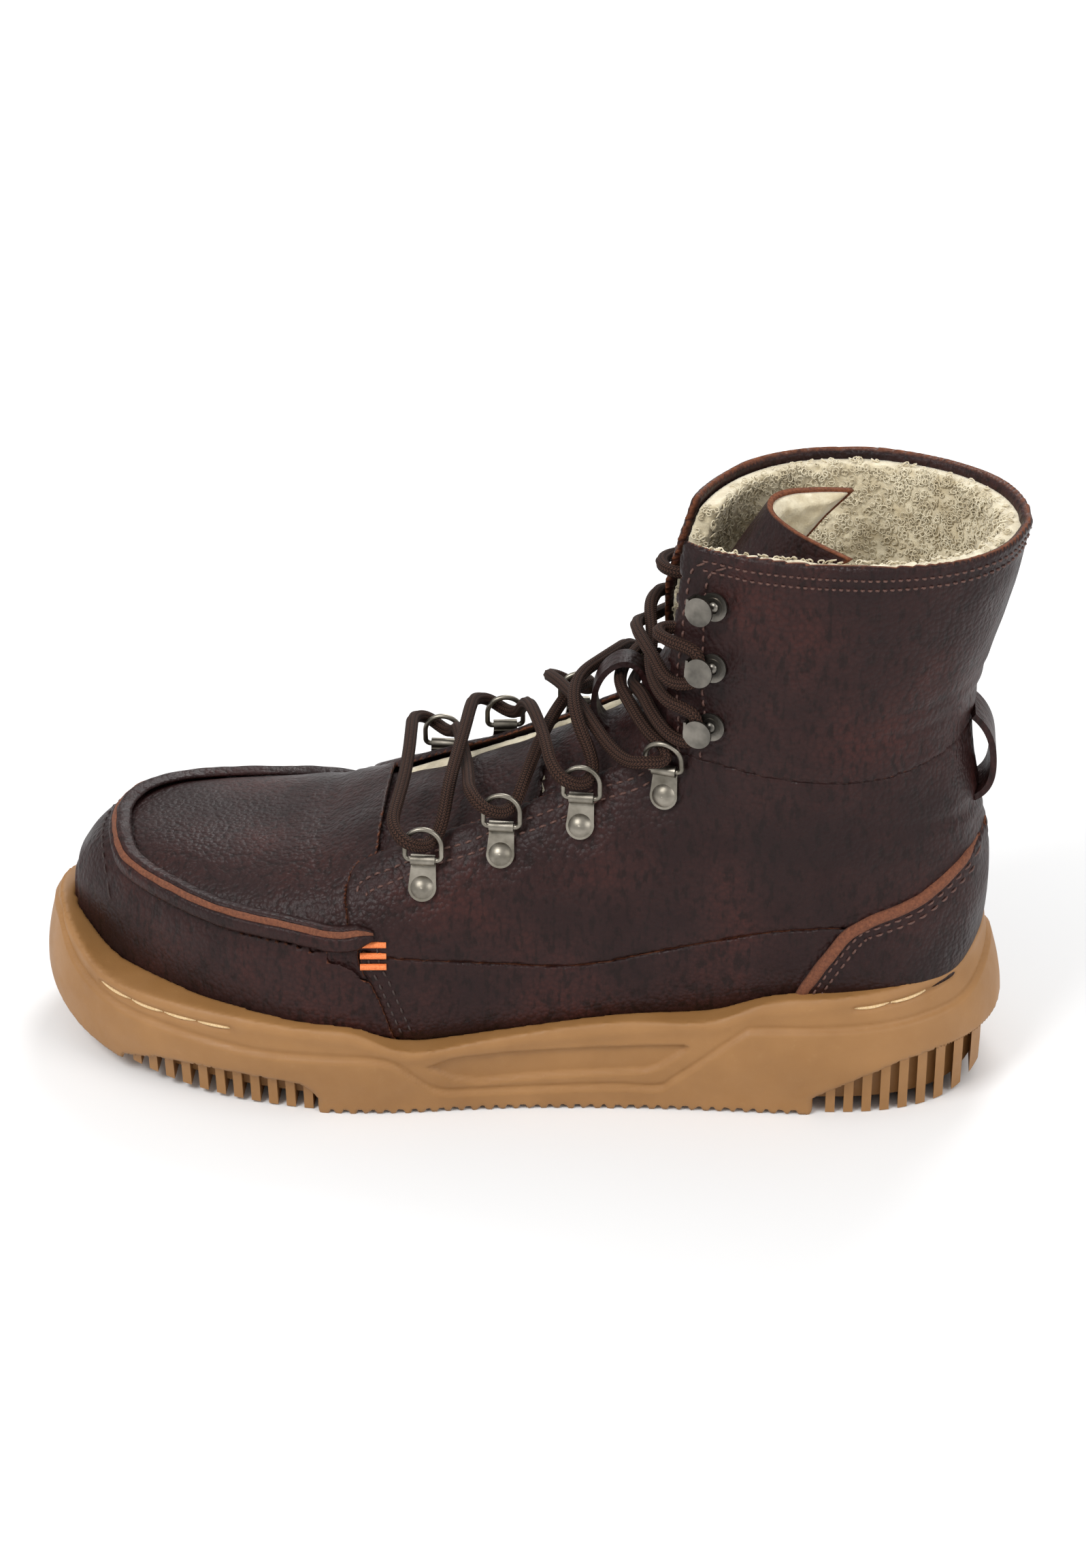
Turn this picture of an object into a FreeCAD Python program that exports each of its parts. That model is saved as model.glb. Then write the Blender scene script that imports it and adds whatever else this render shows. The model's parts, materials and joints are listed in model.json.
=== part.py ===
import FreeCAD, Part

import math
import os

os.makedirs("parts", exist_ok=True)
V = FreeCAD.Vector

# A left lace-up moc-toe boot with a fleece lining and a rubber cup sole, in millimetres.
# Toe towards -X, heel towards +X, the outer (lateral) side at -Y, the inner (medial) side at +Y.
# The ground is z = 0 and the origin is under the middle of the sole.

# ---- driving dimensions ----
LATERAL, MEDIAL = -1, 1
LEATHER = 2.0                 # thickness of the upper leather
STIFFENER = 3.35              # depth of the inner face of the toe puff and the heel counter
FLEECE = 7.0                  # depth of the inner face of the fleece lining
RIM_Z = 184.0
BOARD = 4.0                   # insole board, from the bottom of the upper up
FOOTBED = 10.5                # top of the loose footbed
MEDIAL_RISE = 3.0             # the medial eyestay edge lies this much higher

WIRE_R = 0.8                  # D-ring wire
RING_HALF = 5.6               # half width of a D-ring, to the wire's centre
RING_REACH = 10.2             # from the bar's centre to the centre of the bow's wire
RING_LEAN = 26.0              # degrees that a ring stands off the leather
BAR_OFFSET = 2.7              # bar's centre above the leather
BAR_RISE = 8.4                # bar's centre above its rivet, along the leather
ROLL_OUTER, ROLL_INNER = 1.75, 0.88
RIVET_R, SHANK_R = 3.6, 1.3
HOOK_BASE_R = 4.4
LACE = 4.0                    # lace diameter

# Places in the side view: (x, z). Rivets of the D-ring clips and of the speed hooks.
RING_RIVETS = {
    LATERAL: [(-25.5, 74.5), (-2.0, 84.6), (22.0, 93.7), (47.3, 104.7)],
    MEDIAL: [(-26.0, 77.0), (-6.0, 87.0), (17.0, 96.5), (42.0, 106.5)],
}
HOOK_RIVETS = [(61.0, 130.2), (61.2, 148.6), (61.2, 167.3)]

# The upper is a fan of flat sections, from the toe over the instep and heel to the rim. Each row gives
# the section's back (or bottom) point and front (or top) point as x and z, its lateral and medial y,
# the y of its middle at the back and at the front, the share of the way from back to front where it
# is widest, and how square its back half and its front half are.
SECTIONS = [
    ((-141.8, 36), (-141.8, 51), 4, 17, 10, 10, 0.45, 2.4, 2.2),
    ((-138.5, 28), (-138.5, 59), -2, 25, 10, 10, 0.40, 3.4, 2.5),
    ((-133, 25), (-133, 65), -8.5, 32, 10, 10, 0.35, 4.5, 2.9),
    ((-125, 24), (-125, 69), -17, 39, 10, 10, 0.32, 5, 3.1),
    ((-112, 23), (-112, 71), -27.5, 46.5, 9, 9, 0.30, 5, 3.2),
    ((-96, 21.5), (-96, 72), -38, 51.5, 7, 7, 0.30, 5, 3.2),
    ((-78, 20), (-78, 73.5), -45.5, 53.5, 5, 5, 0.30, 5, 3.1),
    ((-56, 18.5), (-60, 77.5), -50, 52, 2, 3, 0.32, 5, 3.0),
    ((-34, 17.5), (-45, 84), -49, 47, 0, 2, 0.35, 5, 2.8),
    ((-10, 18), (-31, 91.5), -46, 41.5, -1, 1, 0.38, 5, 2.7),
    ((18, 19.5), (-16, 98.5), -43.5, 38.5, 0, 0, 0.40, 4.6, 2.6),
    ((48, 22), (-2, 105), -41, 37, 0, 0, 0.43, 4.2, 2.5),
    ((80, 25), (9, 110.5), -39.5, 37, 0, 0, 0.45, 4.2, 2.4),
    ((112, 28), (19, 115.5), -38.5, 37.5, 0, 0, 0.46, 4.2, 2.4),
    ((136, 33), (26, 120), -38.5, 38, 0, 0, 0.47, 3.6, 2.4),
    ((144.3, 56), (30.5, 124.5), -38.5, 38.5, 0, 0, 0.49, 2.7, 2.4),
    ((143.8, 84), (34, 131), -38.5, 39.5, 0, 0, 0.50, 2.3, 2.4),
    ((140.2, 104), (37, 138.5), -39, 41, 1, -2, 0.50, 2.15, 2.4),
    ((138.3, 122), (40, 147), -38.5, 43, 2, -4, 0.50, 2.1, 2.4),
    ((141.5, 139), (43, 157), -38, 45.5, 3, -7, 0.50, 2.1, 2.3),
    ((147, 158), (46, 168), -37.5, 48.5, 4, -11, 0.50, 2.1, 2.2),
    ((153.4, RIM_Z), (50, RIM_Z), -37, 51.6, 6, -16, 0.50, 2.1, 2.1),
]
ROWS = [(*back, *front, *rest) for back, front, *rest in SECTIONS]
LAST = len(ROWS) - 1
TOE_STATIONS = 5              # the sections before this one face forwards, so they also move back
RING_POINTS = 28              # points round each section

# Outline of the rubber sole seen from above: (x, y), widest line of the side wall.
SOLE_OUTLINE = [
    (-151, 10), (-147, -7), (-137, -23), (-122, -36), (-103, -46), (-80, -52.5), (-55, -55),
    (-32, -53.5), (-8, -49.5), (20, -46.5), (57, -45), (95, -45), (120, -42), (137, -33),
    (148, -18), (152, 0), (149, 18), (139, 32), (122, 40), (95, 42), (60, 41), (25, 41.5),
    (-8, 45), (-32, 51), (-55, 56.5), (-80, 58.5), (-103, 56.5), (-122, 50), (-137, 39), (-147, 26),
]
# Runs of stitches in the side of the sole: from and to as places in the outline, and how many.
STITCH_RUNS = [(0.4, 4.2, 6), (25.8, 29.6, 6), (15.6, 22.4, 10)]
STITCH_DROP, STITCH_R = 6.0, 0.5      # below the sole's upper edge, and the thread's radius
# Underside of the sole in the side view, from heel to toe: (x, z).
GROUND = [(154, 18), (151, 9), (143, 2), (131, 0), (-62, 0), (-90, 1.5), (-115, 4.5), (-134, 9),
          (-147, 16), (-153, 24)]
# Upper edge of the sole in the side view, from toe to heel: (x, z).
SOLE_TOP = [(-153, 46), (-143, 43), (-128, 34.5), (-115, 33), (-80, 32), (-57, 30.5), (-46, 29.5),
            (-38, 26), (-31, 23.5), (-15, 24.5), (6, 28), (46, 32), (66, 33.5), (77, 38), (99, 41),
            (125, 44.5), (137, 47), (146, 52), (154, 55)]
# Underside of the upper in the side view, lifted by BOARD to give the leather's lower edge.
UPPER_BASE = [(-160, 36), (-138.5, 28), (-125, 24), (-96, 21.5), (-56, 18.5), (-34, 17.5), (-10, 18),
              (18, 19.5), (48, 22), (80, 25), (112, 28), (136, 33), (165, 40)]

# Seams in the side view: (x, z).
TACK = (-44.5, 56.0)          # where the ridge, the quarter and the side panel meet
EYESTAY = [TACK, (-48.5, 72.9), (-47.4, 75.7), (-43.2, 78.5), (-36.9, 81.1), (-23, 86.7),
           (-12.4, 90.2), (-0.9, 95), (12.7, 100.2), (25.2, 106.4), (37.1, 111.2), (45.3, 117.8)]
CUFF_SEAM = [(45.3, 117.8), (55.9, 118.8), (72.4, 116.5), (89.9, 114.4), (101.4, 114),
             (112.9, 114.6), (124.4, 116.6), (165, 119)]
SIDE_SEAM = [TACK, (-37.4, 53.9), (-14.7, 51.6), (6.4, 50.1), (24.2, 50), (45.7, 54.5),
             (66.7, 59.1), (82.6, 62.2), (105, 64)]
VAMP_SEAM = [TACK, (-43.6, 49.3), (-41, 44.1), (-36, 30.4), (-32, 15)]
FOXING = [(84, 20), (90, 38.7), (95.6, 49.7), (105, 64), (112.9, 67.9), (124.3, 71.7),
          (134.6, 78.3), (140.8, 82.1), (165, 86)]
# Moc ridge seen from above: (x, y), from the lateral tack round the toe to the medial one.
MOC_RIDGE = [(-40, -48.6), (-57, -48), (-73.3, -43.5), (-90.4, -36.8), (-102, -30), (-114.4, -20.7),
             (-122.5, -10.8), (-126.5, 8), (-123.5, 22), (-115, 33), (-104, 40), (-90, 44.5),
             (-73, 47.5), (-57, 48), (-40, 46)]
PLUG_END = -36.0              # the apron ends here under the tongue's root
# Front edges of the cuff seen from the front: (y, z), lateral going up and medial coming down.
CUFF_GAP = [(-28.5, 117.8), (-28, 132), (-25, 150), (-22, 170), (-21, 192), (9, 192), (11, 170),
            (18, 150), (25, 132), (27, 117.8)]

# Tongue: centre line in the side view with the drop of its sides, from its root to its top edge.
# (x, z, x of the sides, z of the sides, half width)
TONGUE_ROOT = [
    (-43.5, 80.5, 1.5, -11.0, 31), (-31, 86.5, 3.5, -12.5, 32), (-16, 93, 5, -13, 32),
    (-2, 99, 6.5, -13, 31.5), (9, 104, 7.5, -12.5, 31), (20, 109, 8, -11.5, 30),
    (30, 113.5, 9, -9.5, 29), (36.5, 120.5, 10.5, -9, 28.5), (39.6, 126.5, 12.5, -9.5, 28),
]
TONGUE_FLAP = [
    (40.5, 128.6, 14.0, -8, 26.5), (45.5, 138.5, 18.0, -6, 24), (53, 152, 20, -4.5, 22),
    (62.5, 166, 20.5, -4, 22), (69.5, 178, 22.5, -4.5, 23.5), (75.5, 187.5, 25, -6, 26.5),
]
TONGUE_LEATHER, TONGUE_FLEECE = 1.8, 4.2

# Lace keeper on the tongue and pull loop on the heel: centre lines in the side view, (x, z).
KEEPER_WIDTH, KEEPER_THICK = 9.0, 1.8
KEEPER_NOTCH = ((36.0, -5.8, 126.0), (44.0, 5.8, 133.0))    # left free in the flap's leather for the keeper
KEEPER = [(29.0, 111.8), (24.8, 116.5), (24.8, 125.5), (28.8, 132.2), (34.5, 134.4), (38.7, 131.0),
          (39.3, 124.5)]
PULL_WIDTH, PULL_THICK = 17.0, 2.0
PULL_LOOP = [(140.6, 94.5), (145.2, 99), (146.4, 107), (145, 115), (139.6, 122.5)]


# Route of the lace from the tail tucked behind the lateral side, over the tongue from one side to the
# other, down to the bottom rings and back up to the tail tucked behind the medial side: (x, y, z).
LACE_ROUTE = [
    # lateral tail, hanging inside the shaft
    (90, -6, 86), (89.8, -7.5, 104), (89, -12, 121), (87.5, -18.5, 135.5), (83.5, -24.3, 146),
    (76.5, -26.4, 152), (69, -24.6, 154), (62, -22.2, 154.6), (56, -20.4, 154.8), (50, -19.8, 155),
    (44.8, -21, 155.2), (44.2, -26.3, 155.6),
    # lateral hook 2, from above
    (48.3, -30.8, 155.4), (53.2, -33.1, 155), (57, -34.9, 153.1), (56.6, -36.1, 145.2),
    (52.6, -34.8, 143.3), (47.4, -32.3, 143.2),
    # over to medial hook 1
    (43.6, -25, 146.4), (39.8, -16, 147.8), (36.8, -6, 148), (36.8, 3, 145.6), (39.4, 13, 142),
    (42, 23, 138.9), (43.7, 30, 137), (47.6, 35.1, 136.4), (52.5, 37.8, 135.8), (56.4, 39.3, 133.9),
    (56.6, 38.8, 126), (52.8, 37.3, 125.2), (47.9, 34.6, 126.0), (43.2, 29.5, 128.6),
    # through the keeper, over the other strand, to lateral ring 4
    (38.5, 20, 130.5), (34.3, 10, 130.2), (31.8, 1.5, 129), (32.4, -8, 128.4), (36, -16.5, 126.9),
    (39.5, -23.5, 124.6), (43.2, -29.3, 122.8), (47.6, -33.2, 121.2), (47.4, -35.2, 117.4),
    (41.4, -37.4, 118.2), (36.4, -34.5, 116.5),
    # under the other strand to medial ring 3
    (30.8, -28, 117.6), (25, -17.5, 120), (19.5, -5, 121.7), (14, 8.5, 120.3), (10, 18, 118.2),
    (7.9, 24.6, 115.8), (11.8, 29.4, 112.7), (17.8, 27.6, 109.8), (22, 24.2, 111.6),
    (21.8, 20.5, 116.4),
    # ... which leaves ring 3 over the tongue to lateral ring 2
    (16, 11.5, 117.3), (10.5, 0, 112.8), (7.5, -12, 109.5), (5.3, -22.5, 106.5), (3.6, -28.6, 103),
    (2.3, -31, 99.7), (-1.3, -35, 97.9), (-7.2, -37.9, 100.9), (-11.8, -32.4, 103.9),
    # medial ring 1
    (-13.1, -20, 101.8), (-14.8, -6, 99.5), (-17.5, 7, 99.3), (-19.5, 18, 98.6), (-20.9, 25.2, 96),
    (-22.1, 29.4, 91.9), (-25.4, 33.7, 90.2), (-31.3, 37, 93.3), (-35.4, 31, 96.2),
    # the bottom bar of the lacing
    (-34.6, 19, 97.8), (-33.8, 4, 98), (-33.6, -12, 97.2), (-34.4, -26, 96),
    # lateral ring 1
    (-35.2, -36.6, 93.8), (-30.9, -42.5, 90.8), (-24.9, -39.5, 87.8), (-21.3, -35.5, 89.6),
    (-19.7, -31.8, 94.6), (-18.8, -21, 101.2),
    # medial ring 2
    (-17.2, -7, 105), (-16.2, 7, 106.5), (-15.8, 17.5, 107), (-15.3, 25.4, 106.2), (-11.3, 31.1, 103.3),
    (-5.2, 28.8, 100.2), (-1.3, 25, 101.8), (0.4, 21, 106.4),
    # lateral ring 3
    (2.4, 11.5, 112.6), (5, 0, 116.6), (8.4, -13, 116.8), (11, -23, 115.6), (12.6, -30, 113.1),
    (16.6, -35, 109.9), (22.7, -32.3, 107), (25.7, -28.6, 109.2), (24.6, -25.2, 114.4),
    # over the other strand to medial ring 4
    (20.8, -20.5, 120.5), (18.4, -13, 125.2), (18.4, -4, 127.2), (20.6, 4, 127.6), (25.2, 11.5, 127.8),
    (29.8, 20, 127.4), (32.5, 27.8, 125.9), (35.5, 33, 122.1), (41.9, 31.2, 119.6), (43.4, 28.2, 121.6),
    (41.8, 24.6, 124.6),
    # through the keeper, under the other strand, to lateral hook 1
    (39.2, 17, 125.4), (36.7, 8.5, 125), (35.7, 0, 125.6), (37.4, -8.5, 128.6), (40.2, -17.5, 130.2),
    (43.2, -26.5, 128.7), (47.8, -34, 126.4), (52.8, -36.9, 125.1), (56.7, -37.9, 126.6), (56.7, -37.8, 134.3),
    (52.8, -36.3, 136.2), (47.7, -33.8, 136.9),
    # over to medial hook 2
    (43.6, -25.5, 138.4), (41.4, -15, 140.6), (41.8, -3.5, 144.6), (40.2, 7, 149), (41.8, 17, 149),
    (44.3, 27, 145.6), (48.2, 33.9, 142.4), (52.7, 37.2, 142.9), (56.3, 39.3, 144.8), (56.6, 38.8, 152.8),
    (53.1, 36.5, 154.7), (48.5, 32.6, 155.4),
    # medial tail, behind the eyestay and down inside the shaft
    (44.6, 25.5, 157.4), (42.8, 17.6, 158.8), (45.8, 10.8, 159), (52, 9.6, 159), (58.2, 12.4, 159),
    (63, 18.5, 158.8), (68, 24.5, 158), (74, 29, 156.2), (80.5, 29.5, 151.5), (85.5, 25, 143),
    (88, 18.5, 132), (89.2, 12.5, 118.5), (89.8, 8.5, 103), (90, 6.5, 86),
]
AGLET_LENGTH, AGLET_R = 20.0, 1.8
# Three parallel bar tacks over the end of the ridge: middle place, length, spacing and thread radius.
BAR_TACK, BAR_TACK_LENGTH, BAR_TACK_PITCH, BAR_TACK_R = (-40.2, 54.3), 8.0, 3.6, 1.0


# ---- the surface of the upper ----
def section(t):
    """The section at place t along the fan, between the given ones, with the toe at 0."""
    i = min(int(t), LAST - 1)
    f = t - i
    before, start, end, after = (ROWS[min(max(i + k, 0), LAST)] for k in (-1, 0, 1, 2))
    values = []
    for a, b, c, d in zip(before, start, end, after):
        slope_b = (c - a) / 2 if i > 0 else c - b
        slope_c = (d - b) / 2 if i < LAST - 1 else c - b
        values.append(
            (2 * f**3 - 3 * f**2 + 1) * b + (f**3 - 2 * f**2 + f) * slope_b
            + (3 * f**2 - 2 * f**3) * c + (f**3 - f**2) * slope_c
        )
    return values


def sunk(row, depth, t):
    """The same section moved inwards by a depth."""
    bx, bz, fx, fz, lateral, medial, *rest = row
    length = math.hypot(fx - bx, fz - bz)
    ux, uz = (fx - bx) / length * depth, (fz - bz) / length * depth
    back = max(0.0, 1 - t / TOE_STATIONS) * depth
    return [bx + ux + back, bz + uz, fx - ux + back, fz - uz, lateral + depth, medial - depth, *rest]


def on_section(row, angle):
    """Point of a section at an angle: 0 is the front, 180 the back, lateral before medial."""
    bx, bz, fx, fz, lateral, medial, mid_back, mid_front, wide, square_back, square_front = row
    c, s = math.cos(math.radians(angle)), math.sin(math.radians(angle))
    power = 2 / (square_front if c > 0 else square_back)
    h = wide + (1 - wide) * abs(c) ** power if c > 0 else wide - wide * abs(c) ** power
    middle = mid_back + (mid_front - mid_back) * h
    edge = lateral if s > 0 else medial
    return V(bx + (fx - bx) * h, middle + (edge - middle) * abs(s) ** power, bz + (fz - bz) * h)


def share(row, x, z):
    bx, bz, fx, fz = row[:4]
    return ((x - bx) * (fx - bx) + (z - bz) * (fz - bz)) / ((fx - bx) ** 2 + (fz - bz) ** 2)


def fan_place(x, z):
    """The place along the fan whose section passes through (x, z)."""
    def side(t):
        bx, bz, fx, fz = section(t)[:4]
        return (x - bx) * (fz - bz) - (z - bz) * (fx - bx)

    steps = 8 * LAST
    for i in range(steps):
        low, high = LAST * i / steps, LAST * (i + 1) / steps
        if side(low) * side(high) <= 0:
            for _ in range(30):
                middle = (low + high) / 2
                if side(low) * side(middle) <= 0:
                    high = middle
                else:
                    low = middle
            if -0.01 <= share(section(low), x, z) <= 1.01:
                return low
    raise ValueError(f"no section passes through {x}, {z}")


def side_point(x, z, side):
    """The point of the outer surface on one side at (x, z) of the side view."""
    row = section(fan_place(x, z))
    mid_back, mid_front, wide, square_back, square_front = row[6:]
    h = share(row, x, z)
    if h > wide:
        u, power = (h - wide) / (1 - wide), square_front
    else:
        u, power = (wide - h) / wide, square_back
    middle = mid_back + (mid_front - mid_back) * h
    edge = row[4] if side == LATERAL else row[5]
    return V(x, middle + (edge - middle) * max(0.0, 1 - u**power) ** (1 / power), z)


def side_frame(x, z, side):
    """Point on one side with its forward, upward and outward unit directions."""
    step = 1.5
    point = side_point(x, z, side)
    ahead = side_point(x + step, z, side) - side_point(x - step, z, side)
    above = side_point(x, z + step, side) - side_point(x, z - step, side)
    out = above.cross(ahead) if side == MEDIAL else ahead.cross(above)
    out.normalize()
    up = V(0, 0, 1) - out * out.z
    up.normalize()
    return point, up.cross(out), up, out


# ---- small modelling helpers ----
def upper_solid(depth):
    """Closed solid inside the outer surface moved inwards, with a flat toe end and a flat rim."""
    grid = []
    for i in range(2 * LAST + 1):
        row = sunk(section(i / 2), depth, i / 2)
        ring = [on_section(row, 180 + 360 * k / RING_POINTS) for k in range(RING_POINTS)]
        grid.append([*ring, ring[0]])
    skin = Part.BSplineSurface()
    skin.interpolate(grid)
    skin.setVPeriodic()
    first, last, _, _ = skin.bounds()
    ends = [Part.Face(Part.Wire([skin.uIso(u).toShape()])) for u in (first, last)]
    solid = Part.makeSolid(Part.makeShell([skin.toShape(), *ends]))
    return solid if solid.Volume > 0 else solid.reversed()


def spline_edge(points):
    curve = Part.BSplineCurve()
    curve.interpolate([V(*p) for p in points])
    return curve.toShape()


def side_prism(line, closing, y_low=-80, y_high=80):
    """Prism across the boot from a smooth seam line and the straight points that close it."""
    seam = spline_edge([(x, y_low, z) for x, z in line])
    corners = [V(x, y_low, z) for x, z in [line[-1], *closing, line[0]]]
    edges = [seam, *(Part.makeLine(a, b) for a, b in zip(corners, corners[1:]))]
    return Part.Face(Part.Wire(edges)).extrude(V(0, y_high - y_low, 0))


def box(low, high):
    return Part.makeBox(*(b - a for a, b in zip(low, high)), V(*low))


def tube(start, axis, length, outer, inner):
    axis = V(axis).normalize()
    solid = Part.makeCylinder(outer, length, start, axis)
    return solid.cut(Part.makeCylinder(inner, length + 2, start - axis, axis))


def placed(shape, point, forward, up, out):
    """A shape drawn with +X forward, +Y up and +Z out, set on a place of the surface."""
    matrix = FreeCAD.Matrix(
        forward.x, up.x, out.x, point.x, forward.y, up.y, out.y, point.y,
        forward.z, up.z, out.z, point.z, 0, 0, 0, 1,
    )
    moved = shape.copy()
    moved.Placement = FreeCAD.Placement(matrix).multiply(shape.Placement)
    return moved


def fused(shapes):
    return shapes[0].multiFuse(shapes[1:]).removeSplitter() if len(shapes) > 1 else shapes[0]


def largest(shape):
    return max(shape.Solids, key=lambda solid: solid.Volume)


def cut_all(shape, tools):
    return shape.cut(Part.makeCompound(tools))


# ---- layers and regions of the upper ----
outer = upper_solid(0)
inside_leather = upper_solid(LEATHER)
inside_stiffener = upper_solid(STIFFENER)
inside_fleece = upper_solid(FLEECE)

below_leather = side_prism([(x, z + BOARD) for x, z in UPPER_BASE], [(165, -20), (-160, -20)])
below_footbed = side_prism([(x, z + FOOTBED) for x, z in UPPER_BASE], [(165, -20), (-160, -20)])
below_upper = side_prism(UPPER_BASE, [(165, -20), (-160, -20)])
foxing_zone = side_prism(FOXING, [(165, 0), (84, 0)])
cuff_zone = side_prism(CUFF_SEAM, [(165, 200), (45.3, 200)])
side_zone = side_prism(SIDE_SEAM, [(165, 64), (165, 0), (-44.5, 0)])
vamp_zone = side_prism(VAMP_SEAM, [(-160, 15), (-160, 56)])
throat_line = {
    LATERAL: EYESTAY,
    MEDIAL: [(x, z + MEDIAL_RISE * min(1, i / 4)) for i, (x, z) in enumerate(EYESTAY)],
}
half = {LATERAL: box((-170, -80, -5), (170, 0, 200)), MEDIAL: box((-170, 0, -5), (170, 80, 200))}
moc_edges = [spline_edge([(x, y, 45) for x, y in MOC_RIDGE]),
             Part.makeLine(V(*MOC_RIDGE[-1], 45), V(*MOC_RIDGE[0], 45))]
moc_zone = Part.Face(Part.Wire(moc_edges)).extrude(V(0, 0, 60))
gap_corners = [V(-60, y, z) for y, z in CUFF_GAP]
cuff_gap = Part.Face(Part.makePolygon([*gap_corners, gap_corners[0]])).extrude(V(140, 0, 0))


def above_eyestay(side):
    line = throat_line[side]
    return side_prism(line, [(line[-1][0], 200), (-160, 200), (-160, TACK[1])]).common(half[side])


throat = fused([above_eyestay(LATERAL), above_eyestay(MEDIAL)])


def upper_leather():
    """The leather panels: apron, toe wall, side panels, quarters, heel foxing and cuff."""
    shell = outer.cut(inside_leather).cut(below_leather)
    above = shell.cut(foxing_zone)
    middle = above.cut(cuff_zone)
    front = middle.common(fused([throat, vamp_zone]))
    front = front.cut(box((PLUG_END, -80, 60), (80, 80, 200)))
    back = middle.cut(throat).cut(vamp_zone)
    panels = {
        "heel_foxing": shell.common(foxing_zone),
        "ankle_cuff": above.common(cuff_zone).cut(cuff_gap),
        "apron": front.common(moc_zone),
        "toe_wall": front.cut(moc_zone),
    }
    for side, name in ((LATERAL, "lateral"), (MEDIAL, "medial")):
        panels[f"side_panel_{name}"] = back.common(half[side]).common(side_zone)
        panels[f"quarter_{name}"] = back.common(half[side]).cut(side_zone)
    return {name: largest(shape) for name, shape in panels.items()}


def stiffeners():
    layer = inside_leather.cut(inside_stiffener).cut(below_leather)
    return {
        "toe_puff": largest(layer.common(box((-160, -80, 0), (-98, 80, 90)))),
        "heel_counter": largest(layer.common(box((98, -80, 0), (165, 80, 78)))),
    }


def linings(stiff):
    """Fleece linings of the toe, the quarters and the cuff."""
    root = -46
    fleece = cut_all(inside_leather.cut(inside_fleece).cut(below_leather), list(stiff.values()))
    behind = fleece.cut(box((-160, -80, 0), (root, 80, 200)))
    return {
        "vamp_lining": largest(fleece.common(box((-160, -80, 0), (root, 80, 200)))),
        "quarter_lining": largest(behind.cut(cuff_zone).cut(throat)),
        "cuff_lining": largest(behind.common(cuff_zone).cut(cuff_gap)),
    }


# ---- the sole ----
def sole_wire(z, inset):
    middle = 3.0
    points = [V(x * (1 - inset / 150), middle + (y - middle) * (1 - inset / 48), z)
              for x, y in SOLE_OUTLINE]
    curve = Part.BSplineCurve()
    curve.interpolate(Points=points, PeriodicFlag=True)
    return Part.Wire([curve.toShape()])


def sole_block(inset, low=-1.0):
    levels = [(low, 2.4), (11, 0.8), (24, 0), (38, 2.5), (50, 6), (60, 9)]
    return Part.makeLoft([sole_wire(z, inset + extra) for z, extra in levels], True, False)


def top_of_sole(x):
    for (x0, z0), (x1, z1) in zip(SOLE_TOP, SOLE_TOP[1:]):
        if x <= x1:
            return z0 + (z1 - z0) * max(0, x - x0) / (x1 - x0)
    return SOLE_TOP[-1][1]


def straight_prism(points):
    corners = [V(x, -80, z) for x, z in points]
    return Part.Face(Part.makePolygon([*corners, corners[0]])).extrude(V(0, 160, 0))


under_ground = side_prism(GROUND, [(-170, 24), (-170, -10), (170, -10), (170, 18)])
under_ground = under_ground.fuse(box((-170, -80, -10), (170, 80, 0)))
above_sole = side_prism(SOLE_TOP, [(170, 100), (-170, 100)])
RIB, RIB_PITCH, RIB_DEPTH = 2.9, 5.6, 4.0
FOAM_FLOOR, ARCH_FLOOR = 13.5, 9.0    # thickness of rubber under the foam, at the ends and at the arch
# Each tread insert: its outline in the side view, then the x of its first rib and the number of ribs.
TREADS = {
    "forefoot_tread": ([(-121.5, -3), (-121.5, 8), (-109, 12.2), (-95, 13.4), (-80, 12.9),
                        (-62, 11.1), (-57, 5.7), (-57, -3)], -118.5, 11),
    "heel_tread": ([(94, -3), (94, 6.5), (108, 14.5), (121, 20.4), (132, 22.3), (160, 22.3),
                    (160, -3)], 99, 10),
}


def tread(outline, first, count):
    zone = straight_prism(outline)
    ground_up = under_ground.copy()
    ground_up.translate(V(0, 0, RIB_DEPTH))
    base = sole_block(4.0).common(zone).cut(ground_up)
    ribs = [box((first + i * RIB_PITCH, -80, -2), (first + i * RIB_PITCH + RIB, 80, 30))
            for i in range(count)]
    bars = sole_block(1.0).common(zone).common(Part.makeCompound(ribs)).cut(under_ground)
    return largest(fused([base, *bars.Solids]))


def sole_parts():
    """Rubber cup sole with its tread inserts, the foam midsole and the steel shank."""
    treads = {name: tread(*values) for name, values in TREADS.items()}
    arch = box((-55, -80, -20), (90, 80, 60))
    floor = side_prism([(x, z + FOAM_FLOOR) for x, z in GROUND],
                       [(-170, 37), (-170, -10), (170, -10), (170, 31)]).cut(arch)
    pocket = sole_block(11, 5.0).cut(floor).cut(box((-170, -80, -5), (170, 80, ARCH_FLOOR)))
    shank = box((-30, -8, 12.5), (80, 8, 14.0))
    foam = cut_all(pocket.common(below_upper), [outer, shank, *treads.values()])
    cup = sole_block(0).cut(under_ground).cut(above_sole)
    cup = cut_all(cup, [straight_prism(outline) for outline, *_ in TREADS.values()])
    return {
        "cup_sole": largest(cup.cut(pocket).cut(outer)),
        "midsole": largest(foam),
        "shank": shank,
        "insole_board": largest(outer.common(below_leather)),
        "footbed": largest(inside_fleece.common(below_footbed)),
        **treads,
    }


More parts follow.
